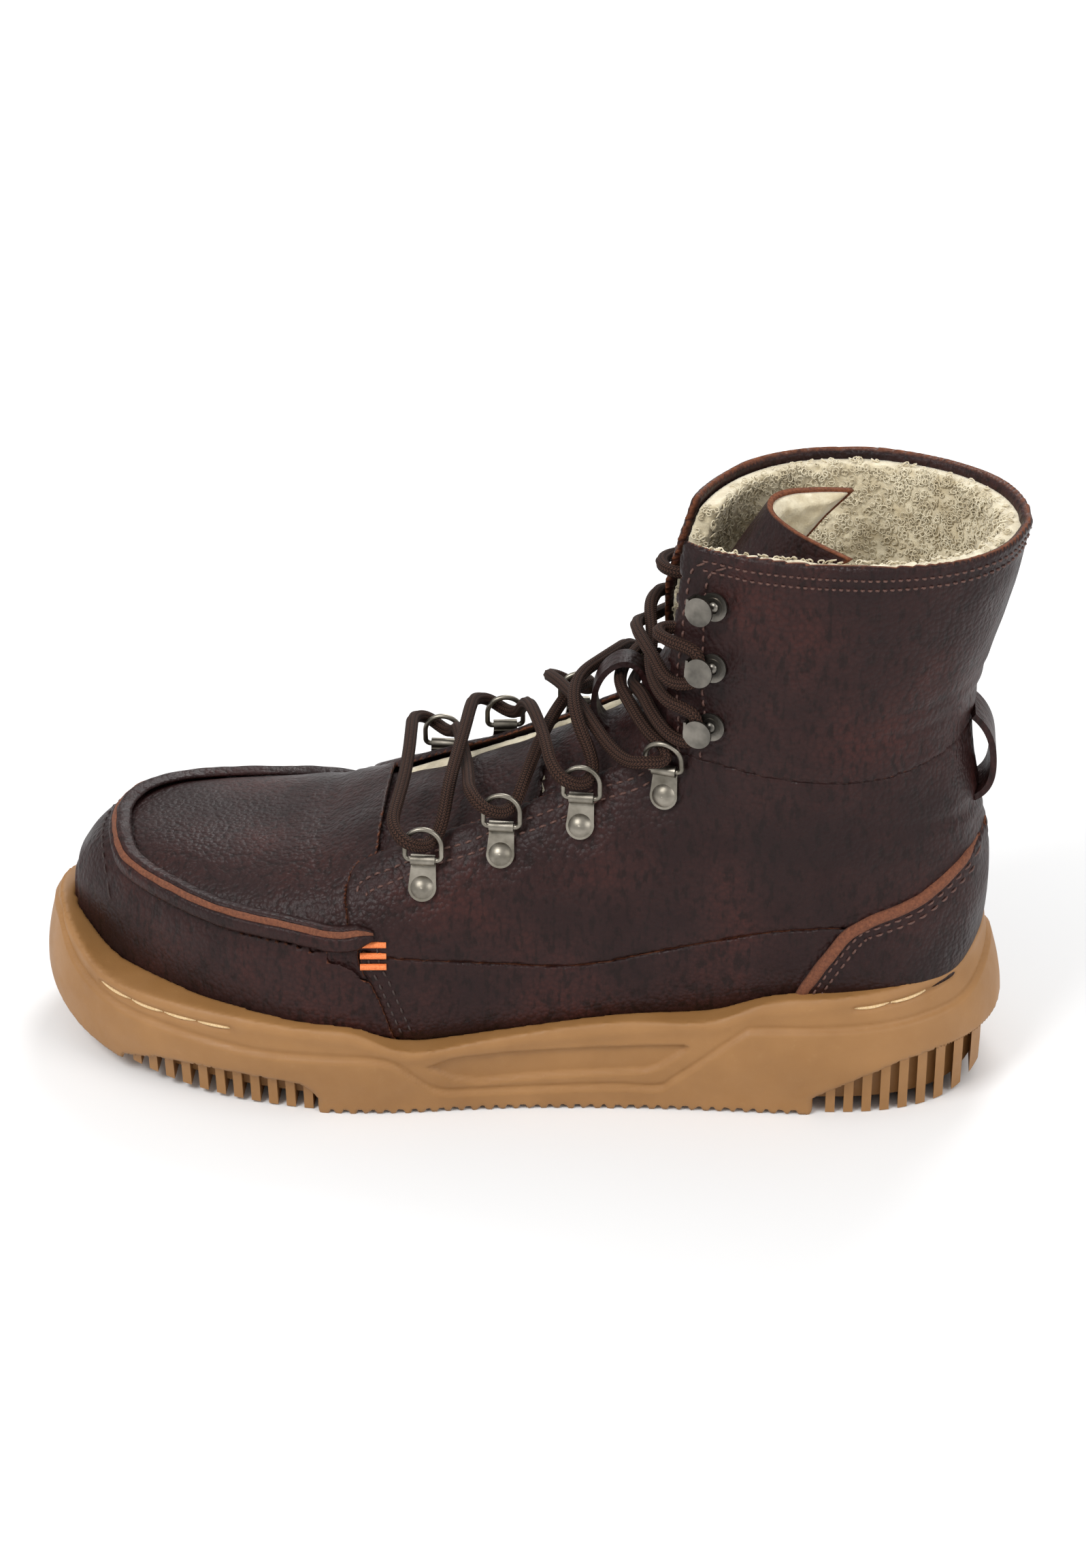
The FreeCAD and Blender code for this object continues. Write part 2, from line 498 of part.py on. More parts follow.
def sole_stitching():
    """Short light stitches along the side of the cup, round the toe and round the heel."""
    skin = sole_block(0)
    threads = []
    for first, last, count in STITCH_RUNS:
        step = (last - first) / count
        for i in range(count):
            ends = []
            for along in (first + step * i, first + step * (i + 0.85)):
                near = SOLE_OUTLINE[int(along) % len(SOLE_OUTLINE)][0]
                z = top_of_sole(near) - STITCH_DROP
                outline = sole_wire(z, 0.03 * max(0, z - 24) - STITCH_R).Edges[0]
                low, high = outline.ParameterRange
                ends.append(outline.valueAt(low + (high - low) * along / len(SOLE_OUTLINE)))
            way = ends[1] - ends[0]
            threads.append(Part.makeCylinder(STITCH_R, way.Length, ends[0], way))
    return Part.makeCompound(threads).cut(skin)


# ---- the tongue ----
def tongue_grid(rows, columns=9):
    grid = []
    for x, z, side_x, side_z, width in rows:
        line = []
        for i in range(columns):
            q = 2 * i / (columns - 1) - 1
            bend = abs(q) ** 2.2
            line.append(V(x + side_x * bend, width * q, z + side_z * bend))
        grid.append(line)
    return grid


def moved_in(grid, depth):
    """The same grid moved along its normals, into the boot."""
    result = []
    last_row, last_column = len(grid) - 1, len(grid[0]) - 1
    for i, line in enumerate(grid):
        moved = []
        for j, point in enumerate(line):
            along = grid[min(i + 1, last_row)][j] - grid[max(i - 1, 0)][j]
            across = line[min(j + 1, last_column)] - line[max(j - 1, 0)]
            moved.append(point + across.cross(along).normalize() * depth)
        result.append(moved)
    return result


def sheet_solid(top, bottom):
    """Closed solid between two grids of points."""
    faces, borders = [], []
    for grid in (top, bottom):
        surface = Part.BSplineSurface()
        surface.interpolate(grid)
        faces.append(surface.toShape())
        u0, u1, v0, v1 = surface.bounds()
        borders.append([surface.uIso(u0), surface.uIso(u1), surface.vIso(v0), surface.vIso(v1)])
    for a, b in zip(*borders):
        faces.append(Part.makeRuledSurface(a.toShape(), b.toShape()))
    shell = Part.makeShell(faces)
    shell.sewShape()
    solid = Part.makeSolid(shell)
    return solid if solid.Volume > 0 else solid.reversed()


def tongue_parts():
    found = {}
    for name, rows in (("root", TONGUE_ROOT), ("flap", TONGUE_FLAP)):
        grid = tongue_grid(rows)
        under = moved_in(grid, TONGUE_LEATHER)
        lining = moved_in(grid, TONGUE_LEATHER + TONGUE_FLEECE)
        found[f"tongue_{name}_leather"] = sheet_solid(grid, under)
        found[f"tongue_{name}_fleece"] = sheet_solid(under, lining)
    return found


def strap(line, width, thick):
    """A leather strap bent along a line of the side view, centred on the boot."""
    curve = Part.BSplineCurve()
    curve.interpolate([V(x, -width / 2, z) for x, z in line])
    low, high = curve.FirstParameter, curve.LastParameter
    inner, outside = [], []
    for i in range(13):
        at = low + (high - low) * i / 12
        way = curve.tangent(at)[0]
        off = V(-way.z, 0, way.x) * (thick / 2)
        inner.append(curve.value(at) - off)
        outside.append(curve.value(at) + off)
    first, second = spline_edge(inner), spline_edge(outside)
    ends = [Part.makeLine(inner[0], outside[0]), Part.makeLine(inner[-1], outside[-1])]
    loop = Part.Wire(Part.sortEdges([first, second, *ends])[0])
    return Part.Face(loop).extrude(V(0, width, 0))


# ---- lacing hardware, drawn with +X to the heel, +Y up and +Z away from the leather ----
def ring_clip():
    disc = Part.makeCylinder(4.3, 0.9, V(0, 0, 0.5))
    half_top, half_low = 3.7, 4.25
    corners = [V(-half_low, 0, 0.5), V(half_low, 0, 0.5), V(half_top, BAR_RISE, 0.5),
               V(-half_top, BAR_RISE, 0.5)]
    plate = Part.Face(Part.makePolygon([*corners, corners[0]])).extrude(V(0, 0, 0.9))
    bar_start = V(-half_top, BAR_RISE, BAR_OFFSET)
    roll = Part.makeCylinder(ROLL_OUTER, 2 * half_top, bar_start, V(1, 0, 0))
    bore = Part.makeCylinder(ROLL_INNER, 30, V(-15, BAR_RISE, BAR_OFFSET), V(1, 0, 0))
    hole = Part.makeCylinder(SHANK_R, 4, V(0, 0, -1))
    return fused([disc, plate, roll]).cut(bore).cut(hole)


def rivet(head_r, seat, height):
    """Domed head on a shank that goes through the leather to a tail washer in the fleece."""
    ball_r = (head_r**2 + height**2) / (2 * height)
    ball = Part.makeSphere(ball_r, V(0, 0, seat + height - ball_r))
    head = ball.common(Part.makeCylinder(head_r, height + 1, V(0, 0, seat)))
    shank = Part.makeCylinder(SHANK_R, seat + 3.2, V(0, 0, -3.2))
    tail = Part.makeCylinder(2.6, 0.7, V(0, 0, -3.4))
    return fused([head, shank, tail])


def ring():
    corner, straight = 1.6, RING_REACH - RING_HALF
    h = RING_HALF
    turn = corner * (1 - math.sqrt(0.5))
    edges = [
        Part.makeLine(V(-h + corner, 0, 0), V(h - corner, 0, 0)),
        Part.Arc(V(h - corner, 0, 0), V(h - turn, turn, 0), V(h, corner, 0)).toShape(),
        Part.makeLine(V(h, corner, 0), V(h, straight, 0)),
        Part.Arc(V(h, straight, 0), V(0, RING_REACH, 0), V(-h, straight, 0)).toShape(),
        Part.makeLine(V(-h, straight, 0), V(-h, corner, 0)),
        Part.Arc(V(-h, corner, 0), V(-h + turn, turn, 0), V(-h + corner, 0, 0)).toShape(),
    ]
    profile = Part.Wire([Part.makeCircle(WIRE_R, V(0, 0, 0), V(1, 0, 0))])
    body = Part.Wire(edges).makePipeShell([profile], True, False)
    body.rotate(V(0, 0, 0), V(1, 0, 0), RING_LEAN)
    body.translate(V(0, BAR_RISE, BAR_OFFSET))
    return body


def hook(toe):
    """Speed hook: a riveted base plate, a fold on the toe side and a leaf that turns back over it."""
    base = fused([Part.makeCylinder(HOOK_BASE_R, 0.8, V(0, 0, 0.5)),
                  box((min(0, toe * 6.6), -2.6, 0.5), (max(0, toe * 6.6), 2.6, 1.3))])
    fold = box((min(toe * 5.8, toe * 6.6), -2.6, 0.5), (max(toe * 5.8, toe * 6.6), 2.6, 6.4))
    leaf = Part.makeCylinder(4.4, 0.8, V(toe * 2.2, -0.6, 5.9))
    leaf = leaf.common(box((min(toe * 6.6, -toe * 9), -9, 0), (max(toe * 6.6, -toe * 9), 9, 9)))
    rim = tube(V(0, 0, 1.3), V(0, 0, 1), 0.3, 2.9, 1.9)
    hole = Part.makeCylinder(SHANK_R, 4, V(0, 0, -1))
    return fused([base, fold, leaf, rim]).cut(hole)


def hardware():
    """Clips, rings, hooks and rivets of both sides; the rivets also give the holes they go through."""
    found = {}
    for side, name in ((LATERAL, "lateral"), (MEDIAL, "medial")):
        ring_frames = [side_frame(x, z, side) for x, z in RING_RIVETS[side]]
        hook_frames = [side_frame(x, z, side) for x, z in HOOK_RIVETS]
        found[f"ring_clips_{name}"] = Part.makeCompound([placed(ring_clip(), *f) for f in ring_frames])
        found[f"ring_rivets_{name}"] = Part.makeCompound([placed(rivet(RIVET_R, 1.4, 1.5), *f)
                                                          for f in ring_frames])
        found[f"speed_hooks_{name}"] = Part.makeCompound([placed(hook(side), *f) for f in hook_frames])
        found[f"hook_rivets_{name}"] = Part.makeCompound([placed(rivet(1.7, 1.3, 1.0), *f)
                                                          for f in hook_frames])
        for i, frame in enumerate(ring_frames):
            found[f"d_ring_{name}_{i + 1}"] = placed(ring(), *frame)
            point, along, up, out = frame
            bar = point + up * BAR_RISE + out * BAR_OFFSET
            print("bar", name, i + 1, [round(v / 1000, 5) for v in bar], [round(v, 4) for v in along])
    return found


# ---- the lace ----
def lace_solid(route):
    """A tube along the route: straight runs joined by arcs as large as the runs allow."""
    points = [V(*p) for p in route]
    edges, start, tightest = [], points[0], 1e9
    for before, corner, after in zip(points, points[1:], points[2:]):
        back, ahead = before - corner, after - corner
        cut = 0.45 * min(back.Length, ahead.Length)
        angle = back.getAngle(ahead)
        radius = cut * math.tan(angle / 2)
        tightest = min(tightest, radius)
        back.normalize()
        ahead.normalize()
        first, last = corner + back * cut, corner + ahead * cut
        inwards = (back + ahead).normalize()
        middle = corner + inwards * (radius / math.sin(angle / 2) - radius)
        edges += [Part.makeLine(start, first), Part.Arc(first, middle, last).toShape()]
        start = last
    edges.append(Part.makeLine(start, points[-1]))
    path = Part.Wire(edges)
    profile = Part.Wire([Part.makeCircle(LACE / 2, points[0], points[1] - points[0])])
    body = path.makePipeShell([profile], True, False)
    whole = math.pi * (LACE / 2) ** 2 * path.Length
    print(f"lace {path.Length:.0f} mm, tightest radius {tightest:.1f}, volume {body.Volume / whole:.3f}")
    return body


def aglet(end, neighbour):
    """Tip at an end of the lace, which runs into it face to face."""
    return Part.makeCylinder(AGLET_R, AGLET_LENGTH, V(*end), V(*end) - V(*neighbour))


def bar_tacks():
    """Generic orange bar tacks, three parallel bars on each side."""
    bars = []
    for side in (LATERAL, MEDIAL):
        frame = side_frame(*BAR_TACK, side)
        for i in (-1, 0, 1):
            bar = Part.makeCylinder(BAR_TACK_R, BAR_TACK_LENGTH, V(-BAR_TACK_LENGTH / 2, i * BAR_TACK_PITCH, 0.1),
                                    V(1, 0, 0))
            bars.append(placed(bar, *frame))
    return Part.makeCompound(bars).cut(outer)


parts = upper_leather()
stiff = stiffeners()
parts.update(stiff)
parts.update(linings(stiff))
parts.update(sole_parts())
metal = hardware()
rivets = [solid for name in metal if "rivets" in name for solid in metal[name].Solids]
plates = [solid for name in metal if "clips" in name or "hooks" in name for solid in metal[name].Solids]
for name in ("quarter_lateral", "quarter_medial", "ankle_cuff", "cuff_lining"):
    parts[name] = largest(cut_all(parts[name], rivets + plates))
for name, shape in tongue_parts().items():
    parts[name] = largest(cut_all(shape.common(inside_leather), rivets)) if "root" in name else shape
tongue_root = [parts["tongue_root_leather"], parts["tongue_root_fleece"]]
parts["quarter_lining"] = largest(cut_all(parts["quarter_lining"], rivets + tongue_root))
parts.update(metal)
parts["tongue_flap_leather"] = largest(parts["tongue_flap_leather"].cut(box(*KEEPER_NOTCH)))
parts["lace_keeper"] = strap(KEEPER, KEEPER_WIDTH, KEEPER_THICK).cut(parts["tongue_root_leather"])
parts["pull_loop"] = strap(PULL_LOOP, PULL_WIDTH, PULL_THICK).cut(outer)
parts["bar_tacks"] = bar_tacks()
parts["sole_stitching"] = sole_stitching()
parts["lace"] = lace_solid(LACE_ROUTE)
parts["aglet_lateral"] = aglet(LACE_ROUTE[0], LACE_ROUTE[1])
parts["aglet_medial"] = aglet(LACE_ROUTE[-1], LACE_ROUTE[-2])

for name, shape in parts.items():
    shape.exportStep(f"parts/{name}.step")
    print(name, shape.isValid(), len(shape.Solids), round(shape.Volume))
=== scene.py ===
"""Looks of a fleece-lined lace-up boot, put round its CAD frame. Shapes are worked out in millimetres."""

import json
import math

import bmesh
import bpy
import numpy as np
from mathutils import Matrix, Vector, noise
from mathutils.bvhtree import BVHTree
from mathutils.kdtree import KDTree


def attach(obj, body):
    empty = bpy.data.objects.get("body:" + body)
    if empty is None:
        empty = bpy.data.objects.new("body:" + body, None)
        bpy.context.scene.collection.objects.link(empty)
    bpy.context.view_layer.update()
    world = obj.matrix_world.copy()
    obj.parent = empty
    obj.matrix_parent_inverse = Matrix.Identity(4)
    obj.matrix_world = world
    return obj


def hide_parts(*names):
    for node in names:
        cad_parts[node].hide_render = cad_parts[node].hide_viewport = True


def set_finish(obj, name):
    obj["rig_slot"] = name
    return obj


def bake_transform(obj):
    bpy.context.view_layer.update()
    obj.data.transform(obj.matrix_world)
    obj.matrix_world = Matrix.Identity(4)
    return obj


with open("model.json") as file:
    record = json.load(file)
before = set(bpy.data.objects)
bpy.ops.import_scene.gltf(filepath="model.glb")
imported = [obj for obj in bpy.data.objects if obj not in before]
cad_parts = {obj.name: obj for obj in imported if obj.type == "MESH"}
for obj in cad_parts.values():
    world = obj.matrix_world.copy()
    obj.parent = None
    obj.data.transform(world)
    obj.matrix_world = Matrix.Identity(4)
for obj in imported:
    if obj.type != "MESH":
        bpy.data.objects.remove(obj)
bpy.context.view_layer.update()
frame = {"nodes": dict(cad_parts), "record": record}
nodes = frame["nodes"]
scene = bpy.context.scene
MM = 0.001
LATERAL, MEDIAL = -1, 1
SIDES = ((LATERAL, "lateral"), (MEDIAL, "medial"))

# Places repeated from the CAD, in millimetres, with the toe towards -X and the lateral side at -Y.
RIM_Z = 184.0
SHAFT_AXIS = (97.0, 0.0)
TACK = (-44.5, 56.0)
EYESTAY = [TACK, (-48.5, 72.9), (-47.4, 75.7), (-43.2, 78.5), (-36.9, 81.1), (-23, 86.7),
           (-12.4, 90.2), (-0.9, 95), (12.7, 100.2), (25.2, 106.4), (37.1, 111.2), (45.3, 117.8)]
SIDE_SEAM = [TACK, (-37.4, 53.9), (-14.7, 51.6), (6.4, 50.1), (24.2, 50), (45.7, 54.5),
             (66.7, 59.1), (82.6, 62.2), (105, 64)]
VAMP_SEAM = [TACK, (-43.6, 49.3), (-41, 44.1), (-36, 30.4), (-34.5, 26)]
FOXING = [(87, 32), (90, 38.7), (95.6, 49.7), (105, 64), (112.9, 67.9), (124.3, 71.7),
          (134.6, 78.3), (140.8, 82.1), (143, 84)]
MOC_RIDGE = [(-40, -48.6), (-57, -48), (-73.3, -43.5), (-90.4, -36.8), (-102, -30), (-114.4, -20.7),
             (-122.5, -10.8), (-126.5, 8), (-123.5, 22), (-115, 33), (-104, 40), (-90, 44.5),
             (-73, 47.5), (-57, 48), (-40, 46)]
SOLE_TOP = [(-153, 46), (-143, 43), (-128, 34.5), (-115, 33), (-80, 32), (-57, 30.5), (-46, 29.5),
            (-38, 26), (-31, 23.5), (-15, 24.5), (6, 28), (46, 32), (66, 33.5), (77, 38), (99, 41),
            (125, 44.5), (137, 47), (146, 52), (154, 55)]
# Lines on the side of the sole: the ledge, the edge of the window at the arch, and the two stitched slots.
LEDGE = [(-144, 41), (-140, 34.5), (-133, 29.5), (-121, 25.5), (-106, 24), (-89, 22.3), (-75, 21),
         (-57, 20.8), (-44, 20.5), (-35, 19), (-29, 14.4), (-20.5, 7.6), (-8, 6.8), (14, 7.4),
         (33, 8.2), (47, 8), (52.5, 12), (72, 28), (77, 30), (96, 30.7), (114, 31.8), (128, 33.2),
         (140, 35), (146, 40), (150, 46)]
WINDOW = [(-25, 17.2), (-16, 20.6), (3, 22), (31, 23.6), (55, 24.8), (57.5, 23.4), (47.5, 15.2),
          (43, 13.4), (12, 11.5), (-8, 9.6), (-16, 11.4)]
SLOTS = [[(-128, 30.5), (-117, 29), (-106, 28.5), (-95, 28.2), (-85, 28)],
         [(107, 37.6), (118.5, 39), (128, 40.6), (137, 42.6)]]
HOOKS = [(61.0, 130.2), (61.2, 148.6), (61.2, 167.3)]
HARDWARE = {
    LATERAL: [(-25.5, 74.5), (-2.0, 84.6), (22.0, 93.7), (47.3, 104.7), *HOOKS],
    MEDIAL: [(-26.0, 77.0), (-6.0, 87.0), (17.0, 96.5), (42.0, 106.5), *HOOKS],
}
CUFF_FRONT = {
    LATERAL: [(-28.5, 119.5), (-28, 132), (-25, 150), (-22.5, 166), (-22, 176), (-25, 181)],
    MEDIAL: [(27, 119.5), (25, 132), (18, 150), (12, 166), (11, 176), (14, 181)],
}
# Tongue: (x, z, x of the sides, z of the sides, half width), under the lacing and then up to its top edge.
TONGUE_ROOT = [
    (-58, 75.8, 0, -9.5, 30), (-50, 78, 0.5, -10.5, 30.5), (-43.5, 80.5, 1.5, -11.0, 31),
    (-31, 86.5, 3.5, -12.5, 32), (-16, 93, 5, -13, 32), (-2, 99, 6.5, -13, 31.5),
    (9, 104, 7.5, -12.5, 31), (20, 109, 8, -11.5, 30),
    (30, 113.5, 9, -9.5, 29), (36.5, 120.5, 10.5, -9, 28.5), (39.6, 126.5, 12.5, -9.5, 28),
]
TONGUE = [
    (33.2, 117, 9.8, -9.2, 28.6), (38.6, 124.5, 12, -9, 27.8), (40.5, 128.6, 14.0, -8, 26.5),
    (45.5, 138.5, 18.0, -6, 24), (53, 152, 20, -4.5, 22), (62.5, 166, 20.5, -4, 22),
    (69.5, 178, 22.5, -4.5, 23.5), (75.5, 187.5, 25, -6, 26.5),
]
TONGUE_LEATHER, TONGUE_FLEECE = 1.8, 4.2
LACE_DIAMETER, LACE_LENGTH = 0.004, 1.26    # metres
LACE_ROUTE = [
    # lateral tail, hanging inside the shaft
    (90, -6, 86), (89.8, -7.5, 104), (89, -12, 121), (87.5, -18.5, 135.5), (83.5, -24.3, 146),
    (76.5, -26.4, 152), (69, -24.6, 154), (62, -22.2, 154.6), (56, -20.4, 154.8), (50, -19.8, 155),
    (44.8, -21, 155.2), (44.2, -26.3, 155.6),
    # lateral hook 2, from above
    (48.3, -30.8, 155.4), (53.2, -33.1, 155), (57, -34.9, 153.1), (56.6, -36.1, 145.2),
    (52.6, -34.8, 143.3), (47.4, -32.3, 143.2),
    # over to medial hook 1
    (43.6, -25, 146.4), (39.8, -16, 147.8), (36.8, -6, 148), (36.8, 3, 145.6), (39.4, 13, 142),
    (42, 23, 138.9), (43.7, 30, 137), (47.6, 35.1, 136.4), (52.5, 37.8, 135.8), (56.4, 39.3, 133.9),
    (56.6, 38.8, 126), (52.8, 37.3, 125.2), (47.9, 34.6, 126.0), (43.2, 29.5, 128.6),
    # through the keeper, over the other strand, to lateral ring 4
    (38.5, 20, 130.5), (34.3, 10, 130.2), (31.8, 1.5, 129), (32.4, -8, 128.4), (36, -16.5, 126.9),
    (39.5, -23.5, 124.6), (43.2, -29.3, 122.8), (47.6, -33.2, 121.2), (47.4, -35.2, 117.4),
    (41.4, -37.4, 118.2), (36.4, -34.5, 116.5),
    # under the other strand to medial ring 3
    (30.8, -28, 117.6), (25, -17.5, 120), (19.5, -5, 121.7), (14, 8.5, 120.3), (10, 18, 118.2),
    (7.9, 24.6, 115.8), (11.8, 29.4, 112.7), (17.8, 27.6, 109.8), (22, 24.2, 111.6),
    (21.8, 20.5, 116.4),
    # over the tongue to lateral ring 2
    (16, 11.5, 117.3), (10.5, 0, 112.8), (7.5, -12, 109.5), (5.3, -22.5, 106.5), (3.6, -28.6, 103),
    (2.3, -31, 99.7), (-1.3, -35, 97.9), (-7.2, -37.9, 100.9), (-11.8, -32.4, 103.9),
    # medial ring 1
    (-13.1, -20, 101.8), (-14.8, -6, 99.5), (-17.5, 7, 99.3), (-19.5, 18, 98.6), (-20.9, 25.2, 96),
    (-22.1, 29.4, 91.9), (-25.4, 33.7, 90.2), (-31.3, 37, 93.3), (-35.4, 31, 96.2),
    # the bottom bar of the lacing
    (-34.6, 19, 97.8), (-33.8, 4, 98), (-33.6, -12, 97.2), (-34.4, -26, 96),
    # lateral ring 1
    (-35.2, -36.6, 93.8), (-30.9, -42.5, 90.8), (-24.9, -39.5, 87.8), (-21.3, -35.5, 89.6),
    (-19.7, -31.8, 94.6), (-18.8, -21, 101.2),
    # medial ring 2
    (-17.2, -7, 105), (-16.2, 7, 106.5), (-15.8, 17.5, 107), (-15.3, 25.4, 106.2), (-11.3, 31.1, 103.3),
    (-5.2, 28.8, 100.2), (-1.3, 25, 101.8), (0.4, 21, 106.4),
    # lateral ring 3
    (2.4, 11.5, 112.6), (5, 0, 116.6), (8.4, -13, 116.8), (11, -23, 115.6), (12.6, -30, 113.1),
    (16.6, -35, 109.9), (22.7, -32.3, 107), (25.7, -28.6, 109.2), (24.6, -25.2, 114.4),
    # over the other strand to medial ring 4
    (20.8, -20.5, 120.5), (18.4, -13, 125.2), (18.4, -4, 127.2), (20.6, 4, 127.6), (25.2, 11.5, 127.8),
    (29.8, 20, 127.4), (32.5, 27.8, 125.9), (35.5, 33, 122.1), (41.9, 31.2, 119.6), (43.4, 28.2, 121.6),
    (41.8, 24.6, 124.6),
    # through the keeper, under the other strand, to lateral hook 1
    (39.2, 17, 125.4), (36.7, 8.5, 125), (35.7, 0, 125.6), (37.4, -8.5, 128.6), (40.2, -17.5, 130.2),
    (43.2, -26.5, 128.7), (47.8, -34, 126.4), (52.8, -36.9, 125.1), (56.7, -37.9, 126.6),
    (56.7, -37.8, 134.3), (52.8, -36.3, 136.2), (47.7, -33.8, 136.9),
    # over to medial hook 2
    (43.6, -25.5, 138.4), (41.4, -15, 140.6), (41.8, -3.5, 144.6), (40.2, 7, 149), (41.8, 17, 149),
    (44.3, 27, 145.6), (48.2, 33.9, 142.4), (52.7, 37.2, 142.9), (56.3, 39.3, 144.8), (56.6, 38.8, 152.8),
    (53.1, 36.5, 154.7), (48.5, 32.6, 155.4),
    # medial tail, behind the eyestay and down inside the shaft
    (44.6, 25.5, 157.4), (42.8, 17.6, 158.8), (45.8, 10.8, 159), (52, 9.6, 159), (58.2, 12.4, 159),
    (63, 18.5, 158.8), (68, 24.5, 158), (74, 29, 156.2), (80.5, 29.5, 151.5), (85.5, 25, 143),
    (88, 18.5, 132), (89.2, 12.5, 118.5), (89.8, 8.5, 103), (90, 6.5, 86),
]


# ---- lines and surfaces ----
def smooth_line(points, step):
    """Evenly spaced points, about a step apart, on a smooth line through the given ones."""
    p = np.array(points, float)
    p = np.vstack([2 * p[0] - p[1], p, 2 * p[-1] - p[-2]])
    fine = []
    for a, b, c, d in zip(p, p[1:], p[2:], p[3:]):
        for f in np.arange(12) / 12:
            fine.append(0.5 * (2 * b + (c - a) * f + (2 * a - 5 * b + 4 * c - d) * f**2
                               + (3 * b - a - 3 * c + d) * f**3))
    fine = np.array([*fine, p[-2]])
    run = np.concatenate([[0], np.cumsum(np.linalg.norm(np.diff(fine, axis=0), axis=1))])
    places = np.linspace(0, run[-1], max(2, round(run[-1] / step) + 1))
    return np.stack([np.interp(places, run, fine[:, k]) for k in range(fine.shape[1])], axis=1)


def beside(line, distance):
    """A plane line moved to its left by a distance."""
    way = np.gradient(line, axis=0)
    way /= np.linalg.norm(way, axis=1)[:, None]
    return line + distance * np.stack([-way[:, 1], way[:, 0]], axis=1)


def gap_to(line, places):
    """Distance of each place to a plane line."""
    best = np.full(len(places), 1e9)
    for a, b in zip(line[:-1], line[1:]):
        run = b - a
        share = np.clip((places - a) @ run / (run @ run), 0, 1)
        best = np.minimum(best, np.linalg.norm(places - a - share[:, None] * run, axis=1))
    return best


def wobble(places, size, seed=0):
    """Smooth random values about from -1 to 1, with features of that size, at each place."""
    shift = Vector((seed * 17.3, seed * 5.1, seed * 9.7))
    return np.array([noise.noise(Vector(p) / size + shift) for p in places])


def arrays(mesh):
    """Places in millimetres and normals of a mesh's vertices."""
    places = np.empty(len(mesh.vertices) * 3)
    mesh.vertices.foreach_get("co", places)
    normals = np.empty(len(mesh.vertices) * 3)
    mesh.vertices.foreach_get("normal", normals)
    return places.reshape(-1, 3) / MM, normals.reshape(-1, 3)


def set_places(mesh, places):
    mesh.vertices.foreach_set("co", (places * MM).ravel())
    mesh.update()


def tube_faces(start, rings, sides):
    """Faces between rings of points that are numbered from start on."""
    faces = []
    for i in range(rings - 1):
        for k in range(sides):
            a, b = start + i * sides + k, start + i * sides + (k + 1) % sides
            faces.append((a, b, b + sides, a + sides))
    return faces


def tube_ends(start, rings, sides):
    last = start + (rings - 1) * sides
    return [tuple(range(start + sides - 1, start - 1, -1)), tuple(range(last, last + sides))]


def faces_of(mesh):
    return [tuple(polygon.vertices) for polygon in mesh.polygons]


def attribute(mesh, name, values):
    layer = mesh.attributes.new(name, "FLOAT", "POINT")
    layer.data.foreach_set("value", np.asarray(values, float))


def piece(name, places, faces, body, material, slot):
    """A new smooth object from places in millimetres, riding on a body."""
    mesh = bpy.data.meshes.new(name)
    mesh.from_pydata([tuple(p) for p in np.asarray(places) * MM], [], faces)
    work = bmesh.new()
    work.from_mesh(mesh)
    bmesh.ops.recalc_face_normals(work, faces=work.faces)
    work.to_mesh(mesh)
    work.free()
    mesh.update()
    mesh.shade_smooth()
    mesh.materials.append(material)
    obj = bpy.data.objects.new(name, mesh)
    scene.collection.objects.link(obj)
    if body:
        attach(obj, body)
    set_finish(obj, slot)
    return obj


def remeshed(node, voxel, smoothing):
    """A new object with a node's shape as an even mesh with slightly rounded edges."""
    obj = bpy.data.objects.new(node + "_detail", nodes[node].data.copy())
    scene.collection.objects.link(obj)
    grid = obj.modifiers.new("even", "REMESH")
    grid.mode = "VOXEL"
    grid.voxel_size = voxel * MM
    soft = obj.modifiers.new("soft", "SMOOTH")
    soft.iterations = smoothing
    soft.factor = 0.5
    mesh = bpy.data.meshes.new_from_object(obj.evaluated_get(bpy.context.evaluated_depsgraph_get()))
    obj.modifiers.clear()
    obj.data = mesh
    mesh.materials.clear()
    mesh.shade_smooth()
    return obj


def stand_in(node, obj, material, slot):
    """Puts an object on the boot in place of a node."""
    obj.data.materials.append(material)
    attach(obj, "boot")
    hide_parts(node)
    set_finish(obj, slot)


def inside_point(places):
    """The point inside the boot that each place faces away from."""
    centre = np.zeros_like(places)
    shaft = (places[:, 2] > 90) & (places[:, 0] > 10)
    centre[:, 0] = np.where(shaft, SHAFT_AXIS[0], np.clip(places[:, 0], -100, SHAFT_AXIS[0]))
    centre[:, 2] = np.where(shaft, places[:, 2], 45)
    return centre


def thickness(mesh, places, normals):
    """How far it is from each vertex straight through the sheet."""
    tree = BVHTree.FromPolygons(places.tolist(), faces_of(mesh))
    through = np.empty(len(places))
    for i, (p, n) in enumerate(zip(places, normals)):
        hit = tree.ray_cast(Vector(p - 0.05 * n), Vector(-n), 12)
        through[i] = hit[3] if hit[3] is not None else 12
    return through


